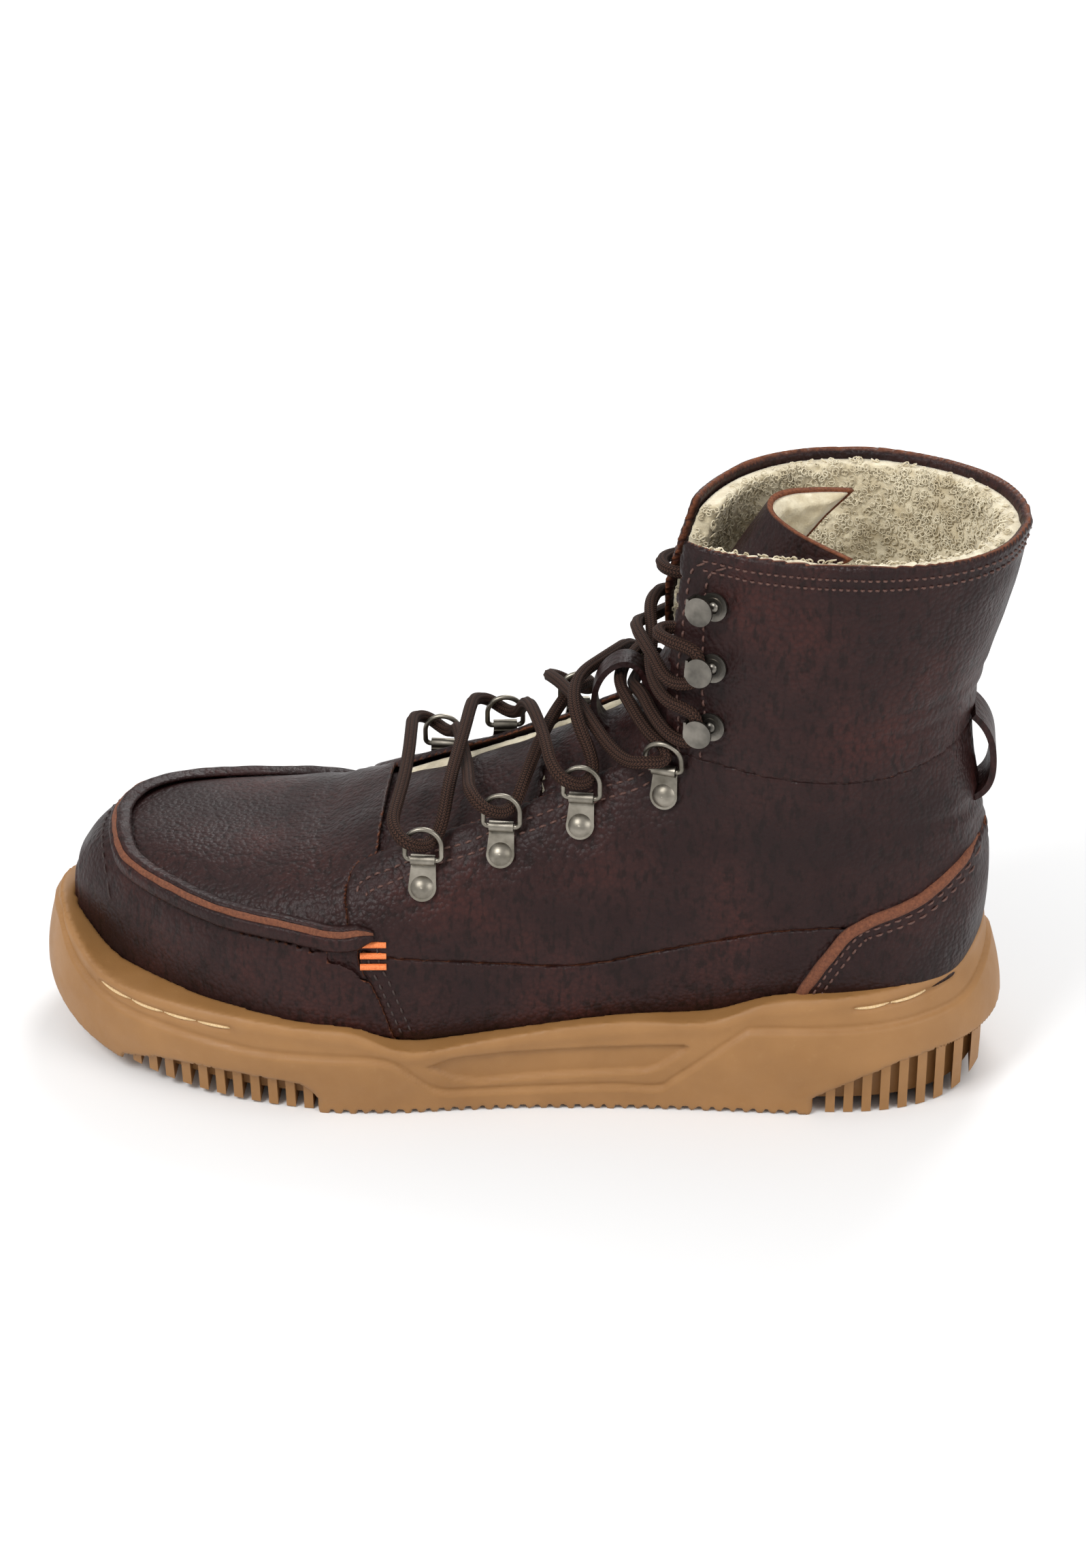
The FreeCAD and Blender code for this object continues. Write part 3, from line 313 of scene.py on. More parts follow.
# ---- node materials ----
class Shade:
    """A material with a Principled shader, and short ways to add nodes to it."""

    def __init__(self, name, **sockets):
        self.material = bpy.data.materials.new(name)
        self.material.use_nodes = True
        self.tree = self.material.node_tree
        self.shader = self.tree.nodes["Principled BSDF"]
        for socket, value in sockets.items():
            self.shader.inputs[socket.replace("_", " ")].default_value = value
        self.place = self.tree.nodes.new("ShaderNodeTexCoord").outputs["Object"]
        self.height = None

    def join(self, value, socket):
        if isinstance(value, bpy.types.NodeSocket):
            self.tree.links.new(value, socket)
        else:
            socket.default_value = value

    def add(self, kind, output, settings=None, **inputs):
        node = self.tree.nodes.new(kind)
        for key, value in (settings or {}).items():
            setattr(node, key, value)
        for key, value in inputs.items():
            self.join(value, node.inputs[key.replace("_", " ")])
        return node.outputs[output]

    def noise(self, size, detail=4.0, roughness=0.55, place=None):
        """Noise whose features are about that many millimetres."""
        return self.add("ShaderNodeTexNoise", "Fac", Vector=place or self.place, Scale=1 / (size * MM),
                        Detail=detail, Roughness=roughness)

    def cells(self, size):
        """Distance from the middles of round cells about that many millimetres wide."""
        return self.add("ShaderNodeTexVoronoi", "Distance", Vector=self.place, Scale=1 / (size * MM))

    def attribute(self, name):
        return self.add("ShaderNodeAttribute", "Fac", {"attribute_name": name})

    def math(self, operation, a, b=0.0):
        node = self.tree.nodes.new("ShaderNodeMath")
        node.operation = operation
        self.join(a, node.inputs[0])
        self.join(b, node.inputs[1])
        return node.outputs[0]

    def remap(self, value, low, high, start, end):
        """The value's range from low to high spread over start to end."""
        node = self.tree.nodes.new("ShaderNodeMapRange")
        for socket, given in zip(node.inputs, (value, low, high, start, end)):
            self.join(given, socket)
        return node.outputs[0]

    def ramp(self, value, *stops):
        node = self.tree.nodes.new("ShaderNodeValToRGB")
        for place, color in stops[2:]:
            node.color_ramp.elements.new(place)
        for element, (place, color) in zip(node.color_ramp.elements, stops):
            element.position = place
            element.color = (*color, 1)
        self.join(value, node.inputs["Fac"])
        return node.outputs["Color"]

    def mix(self, share, a, b):
        node = self.tree.nodes.new("ShaderNodeMix")
        node.data_type = "RGBA"
        self.join(share, node.inputs[0])
        self.join(a if isinstance(a, bpy.types.NodeSocket) else (*a, 1), node.inputs[6])
        self.join(b if isinstance(b, bpy.types.NodeSocket) else (*b, 1), node.inputs[7])
        return node.outputs[2]

    def bump(self, height, strength, depth):
        """Relief of that depth in millimetres, on top of any relief added before."""
        inputs = {"Height": height, "Strength": strength, "Distance": depth * MM}
        if self.height is not None:
            inputs["Normal"] = self.height
        self.height = self.add("ShaderNodeBump", "Normal", **inputs)
        self.join(self.height, self.shader.inputs["Normal"])

    def color(self, value):
        self.join(value, self.shader.inputs["Base Color"])

    def roughness(self, value):
        self.join(value, self.shader.inputs["Roughness"])


LEATHER_DARK, LEATHER_MID = (0.014, 0.0050, 0.0048), (0.026, 0.0090, 0.0080)
# The crease colour on the next line is painted shade, not a leather colour.
LEATHER_RED, PAINTED_CREASE_SHADE = (0.050, 0.0130, 0.0100), (0.008, 0.003, 0.0025)
RAW_DARK, RAW_LIGHT = (0.085, 0.026, 0.013), (0.24, 0.082, 0.036)


def leather(name, grain):
    """Dark oiled leather with a pebbled grain and painted shade in the grain's valleys and along its
    creases; its cut edges are bare and rust-coloured.
    """
    shade = Shade(name, Specular_IOR_Level=0.2)
    patches = shade.noise(38, 5)
    tone = shade.ramp(patches, (0.36, LEATHER_DARK), (0.53, LEATHER_MID), (0.74, LEATHER_RED))
    scuffs = shade.noise(7, 6, 0.7)
    tone = shade.mix(shade.remap(scuffs, 0.60, 0.78, 0, 0.35), tone, LEATHER_RED)
    pebbles = shade.cells(1.5)
    fine = shade.cells(0.62)
    # Painted shade: the valleys between the pebbles are darkened.
    valley_painted_shade = shade.remap(pebbles, 0.30, 0.75, 0, 0.55)
    tone = shade.mix(valley_painted_shade, tone, LEATHER_DARK)
    upright = shade.add("ShaderNodeMapping", "Vector", Vector=shade.place, Scale=(1, 1, 0.42))
    wrinkles = shade.noise(2.0, 4, 0.55, place=upright)
    # Painted shade: the creases of the wrinkles are darkened.
    tone = shade.mix(shade.remap(wrinkles, 0.49, 0.36, 0, 0.75), tone, PAINTED_CREASE_SHADE)
    raw = shade.attribute("raw")
    fibres = shade.noise(1.1, 5, 0.7)
    bare = shade.ramp(fibres, (0.32, RAW_DARK), (0.68, RAW_LIGHT))
    shade.color(shade.mix(raw, tone, bare))
    gloss = shade.remap(shade.noise(16, 4), 0.35, 0.70, 0.38, 0.56)
    shade.roughness(shade.math("MAXIMUM", gloss, shade.math("MULTIPLY", raw, 0.9)))
    where = shade.remap(shade.noise(30, 3), 0.35, 0.65, 0.55, 1.0)
    dome = shade.math("MULTIPLY", shade.math("SUBTRACT", 1.0, pebbles), where)
    shade.bump(dome, 0.55 * grain, 0.36)
    shade.bump(fine, -0.25, 0.12)
    shade.bump(shade.noise(4.5, 4), 0.35, 0.5)
    shade.bump(wrinkles, 0.75, 0.55)
    shade.bump(shade.math("MULTIPLY", fibres, raw), 0.8, 0.5)
    return shade.material


def suede(name, dark, light):
    """Bare fibrous leather."""
    shade = Shade(name, Roughness=0.92)
    fibres = shade.noise(0.9, 6, 0.75)
    shade.color(shade.ramp(fibres, (0.30, dark), (0.70, light)))
    shade.bump(fibres, 0.9, 0.5)
    return shade.material


def fleece_wool(name):
    """Curly cream sheepskin pile, with painted shade in the hollows between its curls."""
    shade = Shade(name, Roughness=0.95, Sheen_Weight=0.35, Sheen_Roughness=0.5)
    clumps = shade.noise(6, 4)
    curls = shade.cells(1.6)
    tone = shade.ramp(clumps, (0.30, (0.56, 0.47, 0.30)), (0.62, (0.80, 0.72, 0.53)))
    # Painted shade: the pile is darkened in the hollows between the curls.
    tone = shade.mix(shade.remap(curls, 0.35, 0.85, 0, 0.35), tone, (0.50, 0.41, 0.26))
    shade.color(tone)
    shade.bump(curls, -0.8, 1.0)
    shade.bump(shade.noise(0.7, 5, 0.7), 0.7, 0.5)
    return shade.material


def rubber(name):
    """Matt natural gum rubber."""
    shade = Shade(name, IOR=1.5)
    stains = shade.noise(24, 5)
    tone = shade.ramp(stains, (0.30, (0.25, 0.118, 0.034)), (0.70, (0.31, 0.152, 0.048)))
    dust = shade.remap(shade.noise(3, 6, 0.7), 0.62, 0.80, 0, 0.35)
    shade.color(shade.mix(dust, tone, (0.36, 0.20, 0.08)))
    shade.roughness(shade.remap(shade.noise(9, 4), 0.3, 0.7, 0.50, 0.66))
    shade.bump(shade.noise(0.5, 4), 0.25, 0.15)
    shade.bump(shade.noise(5, 3), 0.15, 0.4)
    return shade.material


def metal(name, dark, light, rough_low, rough_high):
    """Brushed and slightly tarnished plated metal."""
    shade = Shade(name, Metallic=1.0)
    tarnish = shade.noise(7, 3)
    shade.color(shade.ramp(tarnish, (0.30, dark), (0.70, light)))
    stretch = shade.add("ShaderNodeMapping", "Vector", Vector=shade.place, Scale=(0.12, 1, 1))
    brushed = shade.noise(0.22, 3, 0.6, place=stretch)
    shade.roughness(shade.remap(tarnish, 0.3, 0.7, rough_high, rough_low))
    shade.bump(brushed, 0.35, 0.05)
    return shade.material


def thread(name, dark, light):
    """Waxed thread, lighter along its strands."""
    shade = Shade(name, Roughness=0.62)
    strands = shade.noise(0.35, 3)
    shade.color(shade.ramp(strands, (0.35, dark), (0.65, light)))
    shade.bump(strands, 0.6, 0.15)
    return shade.material


def board(name, dark, light, size):
    """Pressed fibres, foam or felt with flecks of that size."""
    shade = Shade(name, Roughness=0.9)
    fibres = shade.noise(size, 5, 0.7)
    shade.color(shade.ramp(fibres, (0.30, dark), (0.70, light)))
    shade.bump(fibres, 0.5, 0.3)
    return shade.material


def clear_tip(name):
    """Dark heat-shrunk tube on a lace's end."""
    shade = Shade(name, Roughness=0.22, Coat_Weight=0.6)
    shade.color(shade.ramp(shade.noise(1.5, 3), (0.3, (0.020, 0.011, 0.009)), (0.7, (0.05, 0.03, 0.022))))
    shade.bump(shade.noise(0.8, 2), 0.2, 0.1)
    return shade.material


LACE_RIBS, STRAND_PITCH = 8, 0.9


def braid(name):
    """Round braided lace: its strands make small chevrons along eight ribs, with painted shade in the gaps
    between strands and ribs.
    """
    shade = Shade(name, Roughness=0.8, Specular_IOR_Level=0.15)
    around, along = shade.attribute("around"), shade.attribute("along")
    turns = shade.math("ADD", shade.math("MULTIPLY", around, LACE_RIBS), 0.5)
    rib = shade.math("ABSOLUTE", shade.math("SUBTRACT", shade.math("FRACT", turns), 0.5))
    pitches = shade.math("MULTIPLY", along, 1 / (STRAND_PITCH * MM))
    slant = shade.math("ADD", pitches, shade.math("MULTIPLY", rib, 1.6))
    strand = shade.math("PINGPONG", slant, 0.5)
    # Painted shade: the woven colour goes nearly black in the gaps between the strands.
    woven = shade.ramp(strand, (0.04, (0.006, 0.003, 0.0025)), (0.40, (0.060, 0.029, 0.019)))
    # Painted shade: the valleys between the ribs are darkened.
    valley_painted_shade = shade.remap(rib, 0.30, 0.48, 0, 0.85)
    shade.color(shade.mix(valley_painted_shade, woven, (0.004, 0.002, 0.0015)))
    shade.bump(strand, 0.9, 0.35)
    shade.bump(rib, -1.0, 0.7)
    shade.bump(shade.noise(0.25, 3), 0.4, 0.1)
    return shade.material


smooth_grain = leather("oiled_leather", 1.3)
pebbled = leather("pebbled_leather", 1.7)
raw_edge = suede("raw_leather_edge", RAW_DARK, RAW_LIGHT)
wool = fleece_wool("cream_fleece")
gum = rubber("gum_rubber_matt")
nickel = metal("antique_nickel_brushed", (0.13, 0.117, 0.093), (0.34, 0.31, 0.26), 0.33, 0.44)
gunmetal = metal("dark_gunmetal", (0.08, 0.075, 0.066), (0.24, 0.22, 0.19), 0.30, 0.42)
dark_thread = thread("dark_brown_thread", (0.012, 0.006, 0.005), (0.040, 0.019, 0.015))
warm_thread = thread("reddish_brown_thread", (0.045, 0.018, 0.013), (0.125, 0.055, 0.040))
orange = thread("orange_waxed_thread", (0.62, 0.13, 0.028), (0.86, 0.25, 0.07))
cream = thread("cream_thread_waxed", (0.55, 0.36, 0.16), (0.74, 0.56, 0.33))
lace_braid = braid("braided_lace")
PLAIN = {
    "fleece": wool, "brown_leather": smooth_grain, "gum_rubber": gum, "antique_nickel": nickel,
    "gunmetal": gunmetal, "orange_thread": orange, "cream_thread": cream,
    "clear_plastic": clear_tip("lace_tip"), "lace_cord": lace_braid,
    "stiffener": board("toe_stiffener", (0.20, 0.17, 0.13), (0.32, 0.28, 0.22), 1.5),
    "foam": board("sole_foam", (0.60, 0.55, 0.45), (0.70, 0.66, 0.56), 0.6),
    "steel": metal("spring_steel", (0.30, 0.30, 0.31), (0.45, 0.45, 0.46), 0.3, 0.5),
    "fibreboard": board("insole_fibreboard", (0.16, 0.10, 0.05), (0.30, 0.20, 0.11), 2.0),
    "footbed_felt": board("footbed_wool_felt", (0.50, 0.43, 0.30), (0.70, 0.62, 0.46), 1.2),
}
for entry in frame["record"]["subparts"]:
    slots = nodes[entry["node"]].data.materials
    slots.clear()
    slots.append(PLAIN[entry["material_slot"]])


# ---- camera ----
def make_camera():
    """A camera on the lateral side, looking down at the boot; its places are in metres."""
    azimuth, elevation = math.radians(4.107), math.radians(28)
    target, distance = Vector((0.00825, 0, 0.0899)), 1.25
    data = bpy.data.cameras.new("camera")
    data.sensor_width = 36
    data.lens = 92.4
    camera = bpy.data.objects.new("camera", data)
    scene.collection.objects.link(camera)
    camera.location = target + distance * Vector((
        math.sin(azimuth) * math.cos(elevation), -math.cos(azimuth) * math.cos(elevation),
        math.sin(elevation)))
    camera.rotation_euler = (target - camera.location).to_track_quat("-Z", "Y").to_euler()
    scene.camera = camera


make_camera()


# ---- leather panels ----
SEAM_STEP = 1.5         # between the points of a seam line
SHEET_LIMIT = 3.2       # a vertex with less leather than this behind it lies on a face, not on an edge
PANEL_VOXEL = 0.95
SEAMS = {
    "eyestay": smooth_line(EYESTAY, SEAM_STEP), "side": smooth_line(SIDE_SEAM, SEAM_STEP),
    "vamp": smooth_line(VAMP_SEAM, SEAM_STEP), "foxing": smooth_line(FOXING, SEAM_STEP),
}
# How far each panel stands off the ones below it, and its leather.
PANELS = {
    "toe_wall": (0.2, smooth_grain), "apron": (0.0, pebbled), "side_panel_lateral": (0.1, pebbled),
    "side_panel_medial": (0.1, pebbled), "quarter_lateral": (0.6, pebbled),
    "quarter_medial": (0.6, pebbled), "ankle_cuff": (1.0, pebbled), "heel_foxing": (1.6, pebbled),
}


def side_view(places):
    return places[:, [0, 2]]


def hollow(away, width):
    """1 in the middle of a hollow, falling smoothly to 0 over about its width."""
    return np.exp(-(away / width) ** 2)


# Folds round the heel: level, its place and slope along X, width, depth, and where the fold fades in.
HEEL_FOLDS = [(96, 130, -0.12, 2.2, 0.7, 95, 30), (126, 100, 0.10, 1.8, 0.5, 90, 40),
              (133, 100, 0.10, 1.8, 0.35, 90, 40)]
STITCH_GROOVES = {"eyestay": (3, 6), "vamp": (2.5, 5.5), "foxing": (2.5, 5.0)}
SIDE_SEAM_DEPTH, VAMP_FOLD_DEPTH, GROOVE_DEPTH = 0.45, 0.6, 0.22


def relief(places, stand):
    """Height of the outer face over its CAD shape: overlap, soft waves, creases and stitch grooves."""
    x, z = places[:, 0], places[:, 2]
    view = side_view(places)
    height = stand + 0.25 * wobble(places, 26, 1) + 0.12 * wobble(places, 9, 2)
    for level, middle, slope, width, depth, start, run in HEEL_FOLDS:
        height -= depth * hollow(z - level - slope * (x - middle), width) * np.clip((x - start) / run, 0, 1)
    height -= SIDE_SEAM_DEPTH * hollow(gap_to(SEAMS["side"], view), 0.7) * (z < 70)
    height -= VAMP_FOLD_DEPTH * hollow(x + 52 + 0.4 * (z - 60), 5) * (z > 45) * (z < 90)
    for seam, offsets in STITCH_GROOVES.items():
        away = gap_to(SEAMS[seam], view)
        for offset in offsets:
            height -= GROOVE_DEPTH * hollow(away - offset, 0.8)
    return height * clear_of_hardware(places)


def clear_of_hardware(places):
    """0 under the clips and hooks, so that the leather stays beneath them, and 1 away from them."""
    share = np.ones(len(places))
    for side, rivets in HARDWARE.items():
        near_side = places[:, 1] * side > 0
        for x, z in rivets:
            gap = gap_to(np.array([(x, z), (x, z + 8.0)]), side_view(places))
            share = np.where(near_side, np.minimum(share, np.clip((gap - 5) / 5, 0, 1)), share)
    return share


skins = {}


def leather_panel(node, stand, material):
    """A panel with its relief on the outer face, which its cut edges follow."""
    obj = remeshed(node, PANEL_VOXEL, 3)
    mesh = obj.data
    places, normals = arrays(mesh)
    through = thickness(mesh, places, normals)
    facing = ((places - inside_point(places)) * normals).sum(axis=1)
    outer = (through < SHEET_LIMIT) & (facing > 0)
    inner = (through < SHEET_LIMIT) & (facing <= 0)
    height = relief(places, stand)
    moved = places + np.where(outer, height, 0)[:, None] * normals
    tree = KDTree(int(outer.sum()))
    for i in np.flatnonzero(outer):
        tree.insert(Vector(places[i]), int(i))
    tree.balance()
    for i in np.flatnonzero(~outer & ~inner):
        _, near, _ = tree.find(Vector(places[i]))
        depth = (places[near] - places[i]) @ normals[near]
        moved[i] += normals[near] * height[near] * float(np.clip(1.1 - depth / 2, 0, 1))
    set_places(mesh, moved)
    attribute(mesh, "raw", np.clip((through - 2.9) / 1.2, 0, 1))
    skins[node] = (moved, faces_of(mesh))
    stand_in(node, obj, material, "brown_leather")


for panel, (stand, material) in PANELS.items():
    leather_panel(panel, stand, material)


def joined_tree(names):
    places, faces = [], []
    for name in names:
        start = sum(len(part) for part in places)
        places.append(skins[name][0])
        faces += [tuple(v + start for v in face) for face in skins[name][1]]
    return BVHTree.FromPolygons(np.vstack(places).tolist(), faces)


skin = joined_tree(list(PANELS))


def cast(origin, way, reach=400):
    """Where a ray meets the leather, and the surface's normal there, or None."""
    hit = skin.ray_cast(Vector(origin), Vector(way), reach)
    return (np.array(hit[0]), np.array(hit[1])) if hit[0] is not None else None


def on_side(line, side):
    """Points of a side-view line on one side of the boot."""
    return [cast((x, side * 120, z), (0, -side, 0)) for x, z in line]


def on_top(line):
    return [cast((x, y, 160), (0, 0, -1)) for x, y in line]


# ---- stitches ----
STITCH, STITCH_PITCH, THREAD_R = 2.5, 3.3, 0.38
THREAD_RINGS, THREAD_SIDES = 7, 7


def stitch_row(hits):
    """Pairs of ends, with the normal between them, from places spaced half a pitch apart."""
    pairs = []
    for a, b in zip(hits[0::2], hits[1::2]):
        if a is None or b is None:
            continue
        length = np.linalg.norm(b[0] - a[0])
        if length < 2.5 * STITCH:
            pairs.append((a[0], b[0], a[1] + b[1]))
    return pairs


def stitches(name, pairs, material, slot, radius=THREAD_R, lift=0.5):
    """Short threads that rise from the leather in the middle and dive into it at both ends."""
    places, faces = [], []
    for a, b, normal in pairs:
        normal = normal / np.linalg.norm(normal)
        way = (b - a) / np.linalg.norm(b - a)
        across = np.cross(way, normal)
        middle, half = (a + b) / 2, (b - a) / 2 * 1.32
        start = len(places)
        for i in range(THREAD_RINGS):
            f = 2 * i / (THREAD_RINGS - 1) - 1
            centre = middle + half * f + normal * (lift * (1 - f * f) - 0.25)
            thick = radius * (0.62 + 0.38 * math.sqrt(max(0, 1 - f * f)))
            for k in range(THREAD_SIDES):
                turn = 2 * math.pi * k / THREAD_SIDES
                places.append(centre + thick * (math.cos(turn) * across + math.sin(turn) * normal))
        faces += tube_faces(start, THREAD_RINGS, THREAD_SIDES)
        faces += tube_ends(start, THREAD_RINGS, THREAD_SIDES)
    return piece(name, places, faces, "boot", material, slot)


def side_rows(seam, offsets, side):
    """Rows of stitches beside a seam that is seen from the side."""
    rows = []
    for offset in offsets:
        line = beside(smooth_line(seam, STITCH_PITCH / 2), offset)
        rows += stitch_row(on_side(line, side))
    return rows


def cuff_top_row(drop):
    """Stitches round the top of the cuff, so far below its edge, on both sides of the gap at the front."""
    places = []
    for side in (LATERAL, MEDIAL):
        turns = np.radians(np.arange(1.2, 146, 1.55))
        for turn in turns:
            way = Vector((math.cos(turn), side * math.sin(turn), 0))
            origin = Vector((SHAFT_AXIS[0], 0, RIM_Z - drop)) + way * 120
            places.append(cast(origin, -way, 110))
        places.append(None)
    return stitch_row(places)


def cuff_front_row(side, inset):
    """Stitches up the front of the cuff, so far from its edge."""
    line = smooth_line(CUFF_FRONT[side], STITCH_PITCH / 2)
    return stitch_row([cast((-100, y + side * inset, z), (1, 0, 0)) for y, z in line])


for side, word in SIDES:
    eyestay_rows = side_rows(EYESTAY[1:], (-3, -6), side)
    stitches(f"eyestay_stitches_{word}", eyestay_rows, warm_thread, "brown_leather")
    vamp_rows = side_rows(VAMP_SEAM, (2.5, 5.5), side)
    stitches(f"vamp_stitches_{word}", vamp_rows, dark_thread, "brown_leather")
    foxing_rows = side_rows(FOXING[1:], (-2.8, -5.2), side)
    stitches(f"foxing_stitches_{word}", foxing_rows, warm_thread, "brown_leather")
    front_rows = cuff_front_row(side, 3.5) + cuff_front_row(side, 6.5)
    stitches(f"cuff_front_stitches_{word}", front_rows, warm_thread, "brown_leather")
stitches("cuff_top_stitches", cuff_top_row(3.6) + cuff_top_row(6.6), warm_thread, "brown_leather")


# ---- moc ridge and the foxing's bare edge ----
def smoothed(values, rounds):
    """The rows of an array, each evened out with its neighbours."""
    for _ in range(rounds):
        values[1:-1] = (values[:-2] + 2 * values[1:-1] + values[2:]) / 4
    return values


def seam_path(seam, reach, raise_by, side):
    """Places, normals and sideways directions along a seam, from the leather on both sides of it."""
    line = smooth_line(seam, 1.0)
    left, right = on_side(beside(line, -reach), side), on_side(beside(line, reach), side)
    kept = [(a, b) for a, b in zip(left, right) if a is not None and b is not None]
    places = np.array([(a[0] + b[0]) / 2 for a, b in kept])
    normals = np.array([a[1] + b[1] for a, b in kept])
    places, normals = smoothed(places, 40), smoothed(normals, 40)
    normals /= np.linalg.norm(normals, axis=1)[:, None]
    way = np.gradient(places, axis=0)
    way /= np.linalg.norm(way, axis=1)[:, None]
    return places + raise_by * normals, normals, np.cross(way, normals)


def strip(name, path, profile, material, seed):
    """A strip swept along a seam; the profile is sideways offset and height."""
    places, normals, sideways = path
    uneven = wobble(places, 5, seed)
    points = []
    for i, (p, n, s) in enumerate(zip(places, normals, sideways)):
        ends = min(1.0, min(i, len(places) - 1 - i) / 5)
        scale = 0.4 + 0.6 * ends
        for offset, height in profile:
            points.append(p + s * (offset + 0.25 * uneven[i]) * scale
                          + n * (height * scale * (1 + 0.10 * uneven[i]) - 0.8 * (1 - ends)))
    faces = tube_faces(0, len(places), len(profile)) + tube_ends(0, len(places), len(profile))
    obj = piece(name, points, faces, "boot", material, "brown_leather")
    attribute(obj.data, "raw", np.zeros(len(points)))


# Profiles of the strips: sideways offset and height.
OUTER_LIP = [(0.5, -0.8), (0.6, 1.9), (1.2, 2.5), (2.0, 2.5), (2.8, 1.9), (3.5, 0.9), (4.2, 0.0),
             (4.4, -0.8)]
INNER_LIP = [(-4.4, -0.8), (-4.1, 0.1), (-3.3, 1.2), (-2.6, 2.2), (-1.8, 2.7), (-1.0, 2.6), (-0.6, 1.8),
             (-0.5, -0.8)]
BARE_STRIPE = [(-1.3, -0.6), (-1.2, 2.45), (-0.6, 2.85), (0.1, 2.7), (0.8, 2.55), (1.3, 2.1),
               (1.3, -0.6)]
BACKING = [(-3.0, -0.5), (-3.0, 0.2), (3.0, 0.2), (3.0, -0.5)]
FOXING_EDGE = [(-1.9, -0.8), (-1.7, 0.5), (-1.0, 1.1), (0.0, 1.3), (1.0, 1.1), (1.7, 0.5), (1.9, -0.8)]


def ridge_path():
    """Places, outward-leaning normals and sideways directions where the apron's edge meets the toe wall."""
    line = smooth_line(MOC_RIDGE, 1.0)
    outward = (beside(line, 1.0) - line) * 0.65
    hits = on_top(beside(line, -1.8))
    kept = [i for i, hit in enumerate(hits) if hit is not None]
    height = smoothed(np.array([hits[i][0][2] for i in kept]), 30)
    places = np.column_stack([line[kept], height])
    normals = np.column_stack([outward[kept], np.full(len(kept), 0.76)])
    way = np.gradient(places, axis=0)
    way /= np.linalg.norm(way, axis=1)[:, None]
    return places, normals, np.cross(normals, way)


ridge = ridge_path()
strip("ridge_outer_lip", ridge, OUTER_LIP, smooth_grain, 4)
strip("ridge_inner_lip", ridge, INNER_LIP, smooth_grain, 5)
strip("ridge_bare_stripe", ridge, BARE_STRIPE, raw_edge, 6)
for side, word in SIDES:
    under_seam = seam_path([(-46.5, 62), *VAMP_SEAM], 2.5, -1.3, side)
    strip(f"vamp_backing_{word}", under_seam, BACKING, smooth_grain, 10)
for side, word in SIDES:
    edge_path = seam_path(FOXING, 1.2, 0.2, side)
    strip(f"foxing_edge_{word}", edge_path, FOXING_EDGE, raw_edge, 9)


def ridge_stitches():
    line = smooth_line(MOC_RIDGE, STITCH_PITCH / 2)
    rows = stitch_row(on_top(beside(line, 5.6)))
    stitches("ridge_stitches", rows, dark_thread, "brown_leather")


ridge_stitches()


# ---- fleece ----
RIM_DROP = 2.6      # the pile ends this far below the leather's top edge
THROAT_TUCK = 6.0   # beside the tongue it is pressed this far into the boot on the lateral side
CURL_RINGS, CURL_SIDES, CURL_RADIUS = 7, 4, 0.24


def fleece_pile(node, voxel, pile):
    """The lining with an uneven curly pile on the faces that look into the boot or out of the rim."""
    obj = remeshed(node, voxel, 2)
    mesh = obj.data
    places, normals = arrays(mesh)
    to_centre = inside_point(places) - places
    inward = (to_centre * normals).sum(axis=1) / np.linalg.norm(to_centre, axis=1) - 0.5
    showing = inward > 0
    clumps = 0.55 + 0.45 * wobble(places, 5.5, 7) + 0.30 * wobble(places, 2.4, 8)
    moved = places + normals * (pile * np.clip(clumps, 0, 1.4) * showing)[:, None]
    moved[:, 2] -= RIM_DROP * np.clip((places[:, 2] - RIM_Z + 6) / 6, 0, 1)
    by_throat = np.clip(1.35 - gap_to(SEAMS["eyestay"], side_view(places)) / 10, 0, 1)
    depth = np.where(places[:, 1] < 0, THROAT_TUCK, 0.25 * THROAT_TUCK) * by_throat
    moved += to_centre / np.linalg.norm(to_centre, axis=1)[:, None] * depth[:, None]
    set_places(mesh, moved)
    stand_in(node, obj, wool, "fleece")


def curls(name, node, count, seed):
    """Small loose curls of wool standing on the pile."""
    source = bpy.data.objects[node + "_detail"].data
    places, normals = arrays(source)
    inward = ((inside_point(places) - places) * normals).sum(axis=1)
    wanted = np.flatnonzero(inward > 0)
    random = np.random.default_rng(seed)
    chosen = random.choice(wanted, min(count, len(wanted)), replace=False)
    points, faces = [], []
    for i in chosen:
        n = normals[i]
        across = np.cross(n, random.normal(size=3))
        across /= np.linalg.norm(across)
        other = np.cross(n, across)
        size, turns = random.uniform(0.5, 1.1), random.uniform(0.6, 1.3)
        start = len(points)
        for k in range(CURL_RINGS):
            share = k / (CURL_RINGS - 1)
            angle = 2 * math.pi * turns * share
            outward = math.cos(angle) * across + math.sin(angle) * other
            centre = places[i] + n * (0.1 + 1.1 * size * math.sin(math.pi * share)) + size * outward
            for q in range(CURL_SIDES):
                turn = 2 * math.pi * q / CURL_SIDES
                points.append(centre + CURL_RADIUS * (math.cos(turn) * outward + math.sin(turn) * n))
        faces += tube_faces(start, CURL_RINGS, CURL_SIDES)
    piece(name, points, faces, "boot", wool, "fleece")


fleece_pile("cuff_lining", 1.1, 1.5)
fleece_pile("quarter_lining", 1.5, 1.3)
curls("cuff_curls", "cuff_lining", 5200, 11)


# ---- tongue ----
WOOL_OVERLAP = 0.2      # the fleece starts this far inside the leather, so no gap shows


def tongue_surface(outline, length, rows, columns, medial=1.0):
    """Places on the tongue's outer face as rows of points, and the normals there."""
    lines = smooth_line(outline, length / rows)
    grid = []
    for x, z, side_x, side_z, width in lines:
        spread = np.linspace(-1, medial, columns)
        bend = np.abs(spread) ** 2.2
        grid.append(np.stack([x + side_x * bend, width * spread, z + side_z * bend], axis=1))
    grid = np.array(grid)
    along, across = np.gradient(grid, axis=0), np.gradient(grid, axis=1)
    normals = np.cross(along, across)
    normals /= np.linalg.norm(normals, axis=2)[:, :, None]
    front = normals[len(grid) // 2, columns // 2, 0]
    return grid, normals if front < 0 else -normals


